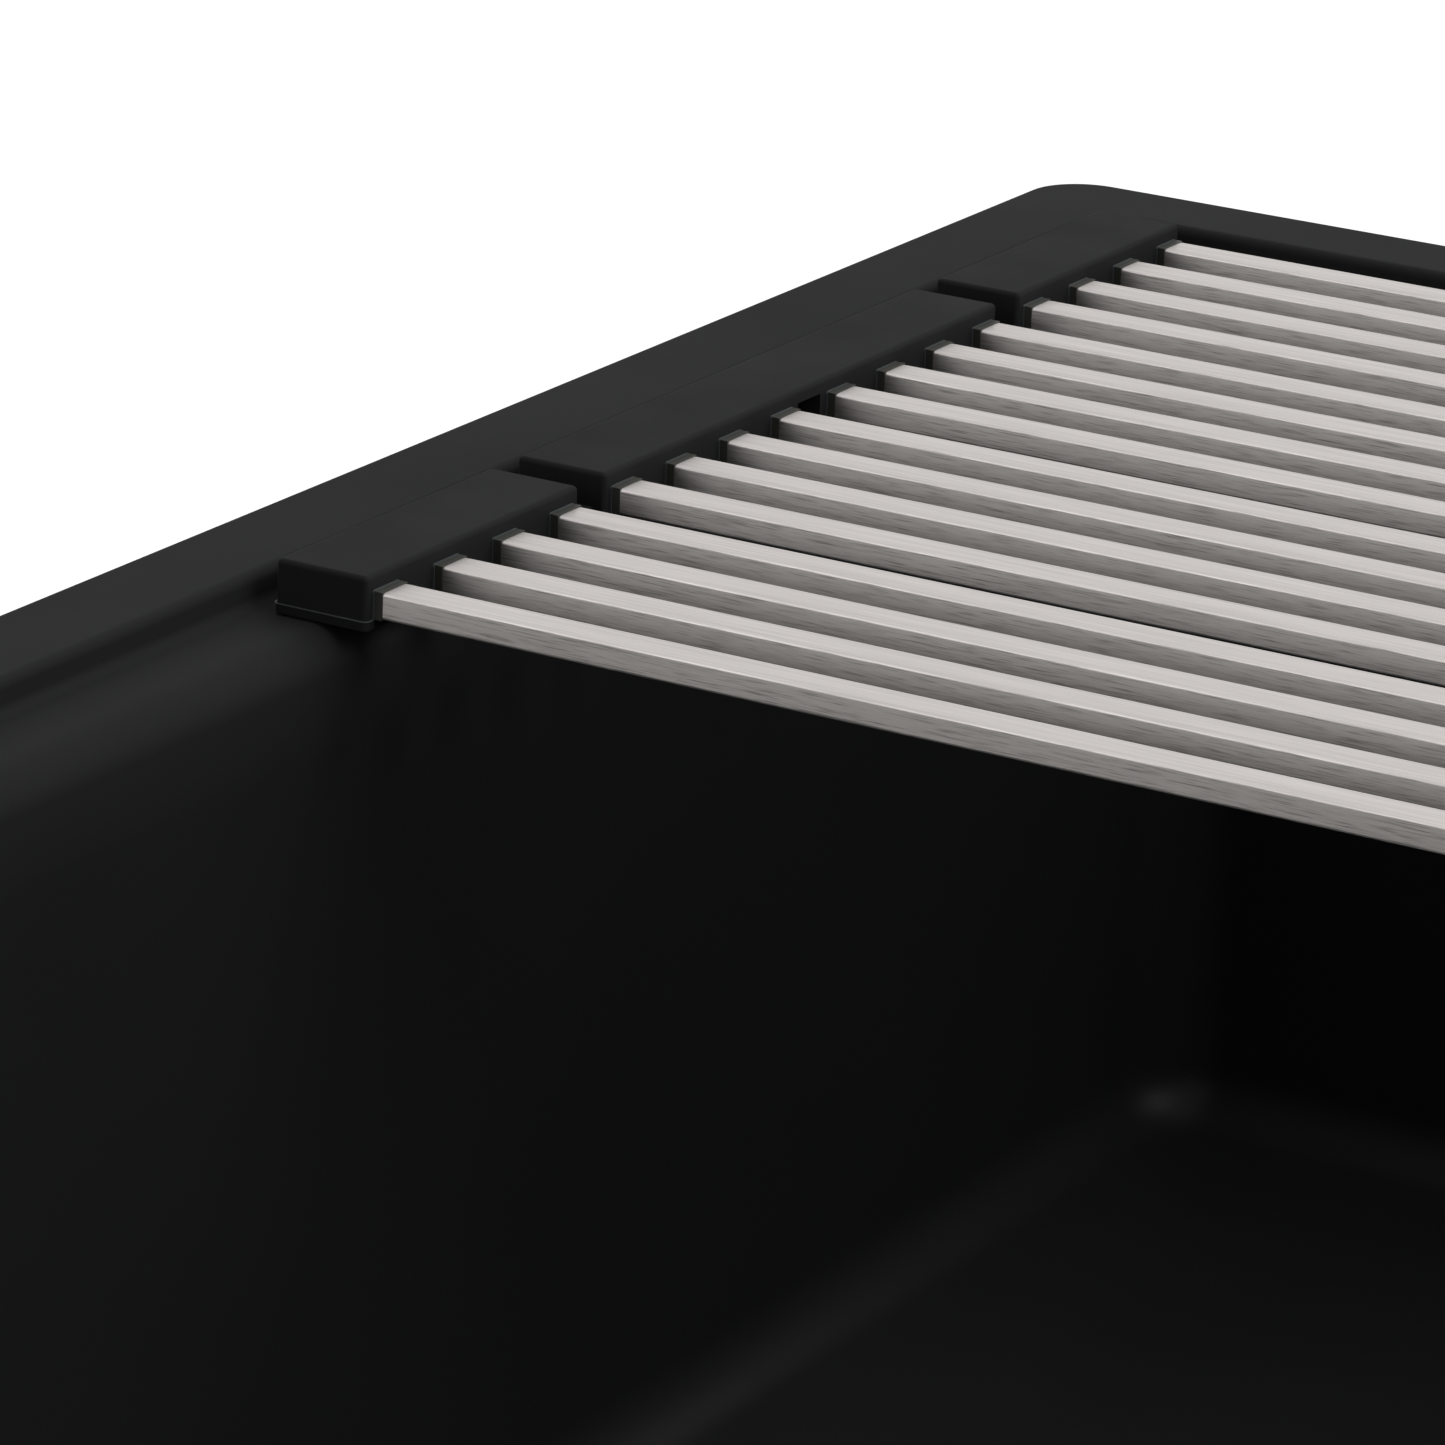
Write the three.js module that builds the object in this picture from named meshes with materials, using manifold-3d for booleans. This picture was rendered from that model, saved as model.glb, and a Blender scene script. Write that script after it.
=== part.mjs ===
// Workstation kitchen sink: one composite bowl with a ledge along its front and back, a folding
// drying rack of flat steel tubes that slides on the ledges, and a basket strainer in the floor.
// Millimetres, +X to the user's right, +Y to the back, +Z up. The origin is the middle of the
// rim's top face, the plane that is pressed against the underside of the worktop.

import * as THREE from 'three';
import { mergeVertices } from 'three/addons/utils/BufferGeometryUtils.js';
import Module from 'manifold-3d';

// ---------------------------------------------------------------- driving dimensions

const fit = 0.3;                    // clearance between two pieces that touch

// bowl
const sinkLength = 813;
const sinkWidth = 483;
const rimWidth = 25;
const rimThickness = 12;
const rimCornerRadius = 15;
const rimEdgeRound = 1.6;
const rimUndersideBreak = 1;
const stepDepth = 7.1;              // ledge below the rim
const stepRound = 2.2;
const stepCornerRadius = 12;
const creaseRound = 2.2;
const ledgeWidth = 23;
const lipRadius = 8.5;
const wallThickness = 10;
const wallDraft = THREE.MathUtils.degToRad(2);
const bowlDepth = 222;              // rim to the foot of the walls
const bowlCornerRadius = 20;
const floorFillet = 14;
const floorFall = 8;                // fall of the floor from its foot to the drain
const haunchHeight = 22;            // slope under each ledge, down to the wall
const ledgeEndInset = 0.3;          // the end walls stand this much proud at the ends of the ledges

// drain
const throatRadius = 45.5;
const throatBreak = 1;
const recessDepth = 4;
const recessRound = 2;
const seatWidth = 22.5;             // of the gasket's seat, from the throat outwards
const seatSlope = 6;                // width of the slope from the gasket's seat up to the floor
const flangeWidth = 11.5;           // of the strainer's flange, from the throat outwards
const flangePlay = 1.5;
const flangeThickness = 1.2;
const flangeEdge = 0.4;
const sealThickness = 1.5;
const strainerWall = 1.3;
const strainerDepth = 46;           // flange to the floor of the strainer
const strainerRound = 3;
const spokeWidth = 3;
const spokeHeight = 2.5;
const outletRadius = 24.4;
const outletLength = 20;
const gasketWidth = 18;
const gasketThickness = 3;
const washerWidth = 14;
const washerThickness = 1;
const lockNutHeight = 12;
const lockNutWall = 8;
const lockNutLugs = 6;
const lugShare = 0.3;               // of the turn from one lug to the next
const lugFlank = 0.06;
const couplingNutFlats = 8;
const couplingNutWall = 5;
const couplingNutHeight = 20;
const couplingLip = 2.4;
const tailWasherThickness = 2;
const tailPipeRadius = 19;

// basket
const basketRimDrop = 5;            // below the strainer's flange
const basketWall = 1;
const basketTaper = 3.5;
const basketPlay = 0.8;
const basketLip = 1.2;
const basketRound = 2;
const basketHoleRadius = 2.5;
const basketHoleRings = [{ count: 6, radius: 13 }, { count: 12, radius: 24 }];
const stopperThickness = 3.3;
const stopperOverlap = 11.2;        // beyond the outlet's bore
const postRadius = 3.2;
const knobRadius = 9;
const knobHeight = 11;
const knobFootRadius = 6.3;
const knobFootHeight = 1;
const knobRise = 2;                 // above the basket's rim

// rack
const barPitch = 21.8;
const foldPitch = 24.1;             // between the last bar of a panel and the first of the next
const barsPerPanel = 4;
const barWidth = 8.8;
const barHeight = 5.6;
const barWall = 0.8;
const barRound = 1.1;
const blockWidth = 22.1;            // across the ledge
const blockMargin = 2.8;            // beyond the outer bars' sides
const blockTopRound = 2;
const blockCornerRound = 2;
const blockEdgeBreak = 0.4;
const blockBaseHeight = 2.3;        // moulded base below the bars
const blockBaseProud = 0.25;
const barLift = 2.35;               // bar undersides above the block undersides
const barDrop = 3.5;                // bar tops below the block tops
const socketBottom = 3.5;           // silicone behind a bar's end
const collarLength = 2;
const collarWall = 0.5;
const rackSidePlay = 6;             // from a block to the step beside the ledge
const rackEndGap = 13.5;            // from the last block to the end of the bowl
const topWebThickness = 3.1;
const bottomWebThickness = 5.8;

const cornerSteps = 10;             // facets in each rounded corner
const latheSteps = 40;
const postSteps = 24;
const cutPast = 1;                  // how far a cut runs past the face it opens

// ---------------------------------------------------------------- materials

const composite = new THREE.MeshStandardMaterial({ color: 0x1c1d1d, roughness: 0.55, metalness: 0 });
const brushedSteel = new THREE.MeshStandardMaterial({ color: 0xc9c6c1, roughness: 0.35, metalness: 1 });
const silicone = new THREE.MeshStandardMaterial({ color: 0x1a1c1e, roughness: 0.6, metalness: 0 });
const polishedSteel = new THREE.MeshStandardMaterial({ color: 0xd4d4d2, roughness: 0.18, metalness: 1 });
const blackRubber = new THREE.MeshStandardMaterial({ color: 0x141414, roughness: 0.8, metalness: 0 });
const fibre = new THREE.MeshStandardMaterial({ color: 0x9a3324, roughness: 0.9, metalness: 0 });
const castZinc = new THREE.MeshStandardMaterial({ color: 0xa5a7a6, roughness: 0.45, metalness: 1 });

// ---------------------------------------------------------------- geometry helpers

const wasm = await Module();
wasm.setup();

/** A rounded rectangle of points round (centreX, centreY), counter-clockwise seen from above. */
function roundedRing(halfX, halfY, radius, z, centreX = 0, centreY = 0, steps = cornerSteps) {
  const points = [];
  const signs = [[1, 1], [-1, 1], [-1, -1], [1, -1]];
  signs.forEach(([signX, signY], corner) => {
    for (let step = 0; step <= steps; step += 1) {
      const angle = (corner + step / steps) * Math.PI / 2;
      points.push([
        centreX + signX * (halfX - radius) + radius * Math.cos(angle),
        centreY + signY * (halfY - radius) + radius * Math.sin(angle),
        z,
      ]);
    }
  });
  return points;
}

/** A circle with as many points as a rounded rectangle's ring, corner for corner. */
function circleRing(radius, z) {
  const count = 4 * (cornerSteps + 1);
  return Array.from({ length: count }, (_, index) => {
    const angle = (index + 0.5) / count * 2 * Math.PI;
    return [radius * Math.cos(angle), radius * Math.sin(angle), z];
  });
}

/** Joins rings of equal count into a skin, looped back to the first or with a flat cap at each end. */
function loft(rings, looped) {
  const count = rings[0].length;
  const positions = rings.flat(2);
  const indices = [];
  const bands = looped ? rings.length : rings.length - 1;
  for (let band = 0; band < bands; band += 1) {
    const lower = band * count;
    const upper = ((band + 1) % rings.length) * count;
    for (let side = 0; side < count; side += 1) {
      const next = (side + 1) % count;
      indices.push(lower + side, lower + next, upper + next);
      indices.push(lower + side, upper + next, upper + side);
    }
  }
  if (!looped) {
    const top = (rings.length - 1) * count;
    for (let side = 1; side < count - 1; side += 1) {
      indices.push(0, side + 1, side);
      indices.push(top, top + side, top + side + 1);
    }
  }
  const geometry = new THREE.BufferGeometry();
  geometry.setAttribute('position', new THREE.Float32BufferAttribute(positions, 3));
  geometry.setIndex(indices);
  return facingOut(geometry);
}

/** Turns a closed mesh's faces round when they point inwards. */
function facingOut(geometry) {
  const position = geometry.getAttribute('position');
  const index = geometry.getIndex();
  const corners = [new THREE.Vector3(), new THREE.Vector3(), new THREE.Vector3()];
  let volume = 0;
  for (let face = 0; face < index.count; face += 3) {
    corners.forEach((corner, turn) => corner.fromBufferAttribute(position, index.getX(face + turn)));
    volume += corners[0].dot(corners[1].clone().cross(corners[2]));
  }
  if (volume < 0) {
    for (let face = 0; face < index.count; face += 3) {
      const first = index.getX(face);
      index.setX(face, index.getX(face + 1));
      index.setX(face + 1, first);
    }
  }
  return geometry;
}

/** Revolves a closed outline of [radius, z] points about the vertical axis. */
function revolve(outline, steps = latheSteps) {
  const points = outline.map(([radius, z]) => new THREE.Vector2(radius, z));
  const closed = outline[0][0] === 0 ? points : [...points, points[0]];
  const geometry = new THREE.LatheGeometry(closed, steps);
  geometry.rotateX(Math.PI / 2);
  return facingOut(merged(geometry));
}

/** A flat ring, such as a washer, from its two radii and two heights. */
function flatRing(inner, outer, bottom, top) {
  return revolve([[inner, bottom], [outer, bottom], [outer, top], [inner, top]]);
}

/** The geometry with shared corners merged, holding positions alone. */
function merged(geometry) {
  const bare = geometry.clone();
  bare.deleteAttribute('normal');
  bare.deleteAttribute('uv');
  return mergeVertices(bare, 1e-4);
}

function toSolid(geometry) {
  const shared = merged(geometry);
  return new wasm.Manifold(new wasm.Mesh({
    numProp: 3,
    vertProperties: new Float32Array(shared.getAttribute('position').array),
    triVerts: new Uint32Array(shared.getIndex().array),
  }));
}

function toGeometry(solid) {
  const mesh = solid.getMesh();
  const geometry = new THREE.BufferGeometry();
  geometry.setAttribute('position', new THREE.BufferAttribute(mesh.vertProperties, 3));
  geometry.setIndex(new THREE.BufferAttribute(mesh.triVerts, 1));
  return geometry;
}

/** A box from its lowest to its highest corner. */
function boxBetween(low, high) {
  const size = high.map((value, axis) => value - low[axis]);
  const geometry = new THREE.BoxGeometry(...size);
  geometry.translate(...low.map((value, axis) => value + size[axis] / 2));
  return geometry;
}

/** Points of a quarter arc as [share of the first leg, share of the second leg] pairs. */
function quarter(steps) {
  return Array.from({ length: steps }, (_, index) => {
    const angle = (index + 1) / steps * Math.PI / 2;
    return [Math.sin(angle), 1 - Math.cos(angle)];
  });
}

const sink = new THREE.Group();

function addPiece(name, geometry, material, parent = sink) {
  const mesh = new THREE.Mesh(geometry, material);
  mesh.name = name;
  parent.add(mesh);
  return mesh;
}

// ---------------------------------------------------------------- sizes worked out

const halfLength = sinkLength / 2;
const halfWidth = sinkWidth / 2;
const recessHalfX = halfLength - rimWidth;          // the end walls, just under the rim
const recessHalfY = halfWidth - rimWidth;           // the steps beside the ledges
const wallHalfY = recessHalfY - ledgeWidth;         // the bowl's front and back walls
const lipBottom = -stepDepth - lipRadius;
const floorFootZ = -bowlDepth;
const drainFloorZ = floorFootZ - floorFall;
const flangeRadius = throatRadius + flangeWidth;
const seatRadius = throatRadius + seatWidth;
const recessRadius = flangeRadius + flangePlay;
const recessZ = drainFloorZ - recessDepth;
const seatZ = recessZ - wallThickness;

const endWallAt = (z) => recessHalfX + z * Math.tan(wallDraft);
const sideWallAt = (z) => wallHalfY + (z - lipBottom) * Math.tan(wallDraft);

// ---------------------------------------------------------------- bowl

function bowlGeometry() {
  const rings = [];
  const add = (halfX, halfY, radius, z) => rings.push(roundedRing(halfX, halfY, radius, z));
  const bodyRadius = stepCornerRadius + wallThickness;
  const bodyHalfX = recessHalfX + wallThickness;
  const bodyHalfY = recessHalfY + wallThickness;

  // rim: underside, outer edge, top
  add(bodyHalfX, bodyHalfY, bodyRadius, -rimThickness);
  const lowerInset = rimUndersideBreak;
  add(halfLength - lowerInset, halfWidth - lowerInset, rimCornerRadius - lowerInset, -rimThickness);
  add(halfLength, halfWidth, rimCornerRadius, -rimThickness + lowerInset);
  add(halfLength, halfWidth, rimCornerRadius, -rimEdgeRound);
  for (const [rise, inset] of quarter(3)) {
    const inwards = rimEdgeRound * inset;
    add(halfLength - inwards, halfWidth - inwards, rimCornerRadius - inwards, rimEdgeRound * (rise - 1));
  }

  // step down to the ledges, which run along the front and the back only
  add(recessHalfX + stepRound, recessHalfY + stepRound, stepCornerRadius + stepRound, 0);
  for (const [inwards, drop] of quarter(4)) {
    const outset = stepRound * (1 - inwards);
    add(recessHalfX + outset, recessHalfY + outset, stepCornerRadius + outset, -stepRound * drop);
  }
  const creaseTop = -stepDepth + creaseRound;
  add(endWallAt(creaseTop), recessHalfY, stepCornerRadius, creaseTop);
  for (const [drop, inwards] of quarter(3)) {
    const z = creaseTop - creaseRound * drop;
    const inset = ledgeEndInset * inwards;
    add(endWallAt(z) - inset, recessHalfY - creaseRound * inwards, stepCornerRadius, z);
  }

  // ledge, its rounded lip and the wall down to the floor
  const cornerAt = (share) => THREE.MathUtils.lerp(stepCornerRadius, bowlCornerRadius, share);
  const ledgeEndX = endWallAt(-stepDepth) - ledgeEndInset;
  add(ledgeEndX, wallHalfY + lipRadius, stepCornerRadius, -stepDepth);
  for (const [inwards, drop] of quarter(6)) {
    const z = -stepDepth - lipRadius * drop;
    add(endWallAt(z) - ledgeEndInset, wallHalfY + lipRadius * (1 - inwards), cornerAt(inwards), z);
  }
  const filletTop = floorFootZ + floorFillet;
  add(endWallAt(filletTop), sideWallAt(filletTop), bowlCornerRadius, filletTop);
  for (const [drop, inwards] of quarter(5)) {
    const inset = floorFillet * inwards;
    const halfX = endWallAt(filletTop) - inset;
    const halfY = sideWallAt(filletTop) - inset;
    add(halfX, halfY, bowlCornerRadius - inset, filletTop - floorFillet * drop);
  }

  // floor to the drain, the recess for the strainer's flange and the throat
  rings.push(circleRing(recessRadius + recessRound, drainFloorZ));
  for (const [inwards, drop] of quarter(2)) {
    rings.push(circleRing(recessRadius + recessRound * (1 - inwards), drainFloorZ - recessRound * drop));
  }
  rings.push(circleRing(recessRadius, recessZ));
  rings.push(circleRing(throatRadius + throatBreak, recessZ));
  rings.push(circleRing(throatRadius, recessZ - throatBreak));
  rings.push(circleRing(throatRadius, seatZ));

  // underside: seat for the gasket, sloping floor, outer wall and the haunch under each ledge
  rings.push(circleRing(seatRadius, seatZ));
  rings.push(circleRing(seatRadius + seatSlope, drainFloorZ - wallThickness));
  const outerFillet = floorFillet + wallThickness;
  for (const [outwards, rise] of [[0, 0], ...quarter(4)]) {
    const outset = outerFillet * outwards - floorFillet;
    const z = filletTop - outerFillet * (1 - rise);
    add(endWallAt(filletTop) + outset, sideWallAt(filletTop) + outset, bowlCornerRadius + outset, z);
  }
  const haunchTop = -stepDepth - wallThickness;
  const haunchFoot = haunchTop - haunchHeight;
  const wallHalfX = endWallAt(haunchFoot) + wallThickness;
  add(wallHalfX, sideWallAt(haunchFoot) + wallThickness, bowlCornerRadius + wallThickness, haunchFoot);
  add(endWallAt(haunchTop) + wallThickness, bodyHalfY, bodyRadius, haunchTop);
  return loft(rings, true);
}

addPiece('sink_bowl', bowlGeometry(), composite);

// ---------------------------------------------------------------- basket strainer, fixed pieces

const sealBottom = recessZ + fit;
const flangeUnderside = sealBottom + sealThickness + fit;
const flangeTop = flangeUnderside + flangeThickness;
const strainerRadius = throatRadius - 2 * fit;
const strainerBore = strainerRadius - strainerWall;
const strainerFloor = flangeTop - strainerDepth;    // upper face of its floor
const strainerUnderside = strainerFloor - strainerWall;
const outletBore = outletRadius - 2 * strainerWall;
const outletEnd = strainerUnderside - outletLength;

function strainerGeometry() {
  const mouth = flangeTop - flangeThickness;
  const shell = revolve([
    [flangeRadius - flangeEdge, flangeUnderside],
    [strainerRadius + strainerRound, flangeUnderside],
    [strainerRadius, flangeUnderside - strainerRound],
    [strainerRadius, strainerUnderside + strainerRound],
    [strainerRadius - strainerRound, strainerUnderside],
    [outletRadius + strainerWall, strainerUnderside],
    [outletRadius, strainerUnderside - strainerWall],
    [outletRadius, outletEnd],
    [outletBore, outletEnd],
    [outletBore, strainerFloor],
    [strainerBore - strainerRound, strainerFloor],
    [strainerBore, strainerFloor + strainerRound],
    [strainerBore, mouth - strainerWall],
    [strainerRadius, mouth],
    [strainerRadius + strainerRound, flangeTop - flangeEdge],
    [flangeRadius - strainerRound, flangeTop],
    [flangeRadius, flangeTop - flangeEdge],
    [flangeRadius, flangeUnderside + flangeEdge],
  ]);
  const reach = outletBore + strainerWall;
  const half = spokeWidth / 2;
  const spokeBottom = strainerFloor - spokeHeight;
  const along = boxBetween([-reach, -half, spokeBottom], [reach, half, strainerFloor]);
  const across = boxBetween([-half, -reach, spokeBottom], [half, reach, strainerFloor]);
  return toGeometry(toSolid(shell).add(toSolid(along)).add(toSolid(across)));
}

/** A round hole for a shape, with as many facets as a revolved piece. */
function roundHole(radius) {
  const points = Array.from({ length: latheSteps }, (_, index) => {
    const angle = -index / latheSteps * 2 * Math.PI;
    return new THREE.Vector2(radius * Math.cos(angle), radius * Math.sin(angle));
  });
  return new THREE.Path(points);
}

/** A ring nut whose rim has lugs for a spanner, standing on its lower face. */
function lugNutGeometry(bore, wall, lugs, height) {
  const outline = new THREE.Shape();
  const lugHeight = wall / 2;
  const turn = 2 * Math.PI / lugs;
  for (let lug = 0; lug < lugs; lug += 1) {
    const start = lug * turn;
    const lugEnd = start + turn * lugShare;
    outline.absarc(0, 0, bore + wall + lugHeight, start, lugEnd, false);
    outline.absarc(0, 0, bore + wall, lugEnd + turn * lugFlank, start + turn * (1 - lugFlank), false);
  }
  outline.holes.push(roundHole(bore));
  return new THREE.ExtrudeGeometry(outline, { depth: height, bevelEnabled: false, curveSegments: 5 });
}

/** The nut below the strainer: flats outside, and a lip inside that carries the tail washer. */
function couplingNutGeometry(lipBottomZ) {
  const prism = (bore, bottom, top) => {
    const outline = new THREE.Shape();
    const outer = (outletRadius + fit + couplingNutWall) / Math.cos(Math.PI / couplingNutFlats);
    for (let corner = 0; corner < couplingNutFlats; corner += 1) {
      const angle = (corner + 0.5) / couplingNutFlats * 2 * Math.PI;
      outline[corner === 0 ? 'moveTo' : 'lineTo'](outer * Math.cos(angle), outer * Math.sin(angle));
    }
    outline.holes.push(roundHole(bore));
    const geometry = new THREE.ExtrudeGeometry(outline, { depth: top - bottom, bevelEnabled: false });
    geometry.translate(0, 0, bottom);
    return toSolid(geometry);
  };
  const lip = prism(tailPipeRadius + fit, lipBottomZ, lipBottomZ + couplingLip);
  const sleeve = prism(outletRadius + fit, lipBottomZ + couplingLip, lipBottomZ + couplingNutHeight);
  return toGeometry(lip.add(sleeve));
}

const gasketTop = seatZ - fit;
const gasketBottom = gasketTop - gasketThickness;
const washerBottom = gasketBottom - fit - washerThickness;
const lockNutTop = washerBottom - fit;
const nutBore = strainerRadius + fit;

const sealInner = strainerRadius + strainerRound + fit;
const sealOuter = flangeRadius - flangeEdge;

addPiece('strainer_body', strainerGeometry(), polishedSteel);
addPiece(
  'flange_seal',
  flatRing(sealInner, sealOuter, sealBottom, sealBottom + sealThickness),
  blackRubber,
);
addPiece('rubber_gasket', flatRing(nutBore, nutBore + gasketWidth, gasketBottom, gasketTop), blackRubber);
addPiece('fibre_washer', flatRing(nutBore, nutBore + washerWidth, washerBottom, gasketBottom - fit), fibre);
const lockNut = addPiece(
  'lock_nut',
  lugNutGeometry(nutBore, lockNutWall, lockNutLugs, lockNutHeight),
  castZinc,
);
lockNut.position.z = lockNutTop - lockNutHeight;

const tailWasherTop = outletEnd - fit;
const couplingLipTop = tailWasherTop - tailWasherThickness - fit;
addPiece(
  'tail_washer',
  flatRing(tailPipeRadius + fit, outletRadius, tailWasherTop - tailWasherThickness, tailWasherTop),
  blackRubber,
);
addPiece('coupling_nut', couplingNutGeometry(couplingLipTop - couplingLip), castZinc);

// ---------------------------------------------------------------- basket, which lifts out

const stopperBottom = strainerFloor + fit;
const stopperTop = stopperBottom + stopperThickness;
const stopperRadius = outletBore + stopperOverlap;
const basketBottom = stopperTop + fit;
const basketTop = flangeTop - basketRimDrop;
const postBottom = stopperBottom + fit;
const knobTop = basketTop + knobRise;

function basketGeometry() {
  const rimRadius = strainerBore - basketPlay;
  const upper = rimRadius - basketLip;
  const lower = upper - basketTaper;
  const bore = postRadius + fit;
  const cup = revolve([
    [bore, basketBottom],
    [lower - basketRound, basketBottom],
    [lower, basketBottom + basketRound],
    [upper, basketTop - basketWall - basketLip],
    [rimRadius, basketTop - basketWall],
    [rimRadius, basketTop],
    [upper - basketWall, basketTop],
    [lower - basketWall, basketBottom + basketRound + basketWall],
    [lower - basketWall - basketRound, basketBottom + basketWall],
    [bore, basketBottom + basketWall],
  ]);
  let solid = toSolid(cup);
  for (const { count, radius } of basketHoleRings) {
    for (let hole = 0; hole < count; hole += 1) {
      const angle = (hole + 0.5) / count * 2 * Math.PI;
      const drill = new THREE.CylinderGeometry(basketHoleRadius, basketHoleRadius, 4 * basketWall, 8);
      drill.rotateX(Math.PI / 2);
      drill.translate(radius * Math.cos(angle), radius * Math.sin(angle), basketBottom + basketWall / 2);
      solid = solid.subtract(toSolid(drill));
    }
  }
  return toGeometry(solid);
}

function postGeometry() {
  const knobBottom = knobTop - knobHeight;
  const shoulder = knobTop - knobHeight / 2;
  const dome = quarter(4).map(([rise, inset]) => (
    [knobRadius * (1 - inset), shoulder + knobHeight / 2 * rise]
  ));
  return revolve([
    [0, postBottom],
    [postRadius, postBottom],
    [postRadius, knobBottom],
    [knobFootRadius, knobBottom + knobFootHeight],
    [knobRadius, shoulder],
    ...dome,
  ], postSteps);
}

addPiece('strainer_basket', basketGeometry(), polishedSteel);
addPiece('stopper_seal', flatRing(postRadius + fit, stopperRadius, stopperBottom, stopperTop), blackRubber);
addPiece('basket_post', postGeometry(), polishedSteel);

// ---------------------------------------------------------------- folding rack

const panels = ['a', 'b', 'c', 'd'];                // left to right; the folds are a-b, b-c and c-d
const panelLength = (barsPerPanel - 1) * barPitch + barWidth + 2 * blockMargin;
const foldGap = foldPitch - barWidth - 2 * blockMargin;
const rackRight = recessHalfX - rackEndGap;
const blockOuterY = recessHalfY - rackSidePlay;
const blockInnerY = blockOuterY - blockWidth;
const blockBottom = -stepDepth + fit;
const barBottom = blockBottom + barLift;
const barTop = barBottom + barHeight;
const blockTop = barTop + barDrop;
const socketEndY = blockOuterY - socketBottom;
const barHalfLength = socketEndY - fit;

const panelRight = (panel) => rackRight - (panels.length - 1 - panel) * (panelLength + foldGap);
const panelLeft = (panel) => panelRight(panel) - panelLength;
const barCentre = (panel, bar) => panelLeft(panel) + blockMargin + barWidth / 2 + bar * barPitch;

/** A stretch of the end strip with its moulded base and rounded upper edges, all round. */
function stripSolid(left, right) {
  const halfX = (right - left) / 2;
  const halfY = blockWidth / 2;
  const centreX = (left + right) / 2;
  const centreY = blockInnerY + halfY;
  const ringAt = (inset, z) => {
    const radius = Math.max(blockCornerRound - inset, blockEdgeBreak);
    return roundedRing(halfX - inset, halfY - inset, radius, z, centreX, centreY, 2);
  };
  const rings = [
    ringAt(blockEdgeBreak, blockBottom),
    ringAt(0, blockBottom + blockEdgeBreak),
    ringAt(0, blockBottom + blockBaseHeight - blockBaseProud),
    ringAt(blockBaseProud, blockBottom + blockBaseHeight),
    ringAt(blockBaseProud, blockTop - blockTopRound),
    ...quarter(4).map(([rise, inset]) => (
      ringAt(blockBaseProud + blockTopRound * inset, blockTop - blockTopRound * (1 - rise))
    )),
  ];
  return toSolid(loft(rings, false));
}

/** One panel's block on the back ledge. Panels b and c meet under one top, so there it is square. */
function blockGeometry(panel) {
  const runOn = 4 * blockTopRound;
  const squareRight = panels[panel] === 'b';
  const squareLeft = panels[panel] === 'c';
  const left = panelLeft(panel);
  const right = panelRight(panel);
  let solid = stripSolid(left - (squareLeft ? runOn : 0), right + (squareRight ? runOn : 0));
  const inner = blockInnerY - collarLength;
  const collarOutset = fit + collarWall;
  for (let bar = 0; bar < barsPerPanel; bar += 1) {
    const x = barCentre(panel, bar);
    const outset = barWidth / 2 + collarOutset;
    const low = [x - outset, inner, barBottom - collarOutset];
    const high = [x + outset, blockInnerY + collarLength, barTop + collarOutset];
    solid = solid.add(toSolid(boxBetween(low, high)));
  }
  for (let bar = 0; bar < barsPerPanel; bar += 1) {
    const x = barCentre(panel, bar);
    const outset = barWidth / 2 + fit;
    const low = [x - outset, inner - cutPast, barBottom - fit];
    const high = [x + outset, socketEndY, barTop + fit];
    solid = solid.subtract(toSolid(boxBetween(low, high)));
  }
  const keep = boxBetween(
    [left, inner - cutPast, blockBottom - cutPast],
    [right, blockOuterY + cutPast, blockTop + cutPast],
  );
  return toGeometry(solid.intersect(toSolid(keep)));
}

/** The web of a fold: the strip's own outline between two blocks, over a part of its height. */
function webGeometry(panel, bottom, top) {
  const left = panelRight(panel);
  const right = panelLeft(panel + 1);
  const keep = boxBetween(
    [left + fit, blockInnerY - cutPast, bottom],
    [right - fit, blockOuterY + cutPast, top],
  );
  return toGeometry(stripSolid(left - panelLength, right + panelLength).intersect(toSolid(keep)));
}

/** The same piece on the front ledge. */
function mirroredToFront(geometry) {
  const mirrored = geometry.clone();
  mirrored.scale(1, -1, 1);
  return facingOut(mirrored);
}

function barGeometry() {
  const outline = new THREE.Shape();
  const halfX = barWidth / 2 - barRound;
  const halfZ = barHeight / 2 - barRound;
  [[1, 1], [-1, 1], [-1, -1], [1, -1]].forEach(([signX, signZ], corner) => {
    const start = corner * Math.PI / 2;
    outline.absarc(signX * halfX, signZ * halfZ, barRound, start, start + Math.PI / 2, false);
  });
  const innerX = barWidth / 2 - barWall;
  const innerZ = barHeight / 2 - barWall;
  const bore = new THREE.Path();
  bore.moveTo(-innerX, -innerZ);
  bore.lineTo(-innerX, innerZ);
  bore.lineTo(innerX, innerZ);
  bore.lineTo(innerX, -innerZ);
  bore.closePath();
  outline.holes.push(bore);
  const options = { depth: 2 * barHalfLength, bevelEnabled: false, curveSegments: 3 };
  const geometry = new THREE.ExtrudeGeometry(outline, options);
  geometry.translate(0, 0, -barHalfLength);
  geometry.rotateX(Math.PI / 2);
  return geometry;
}

function addBothSides(name, geometry) {
  addPiece(`${name}_back`, geometry, silicone);
  addPiece(`${name}_front`, mirroredToFront(geometry), silicone);
}

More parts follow.
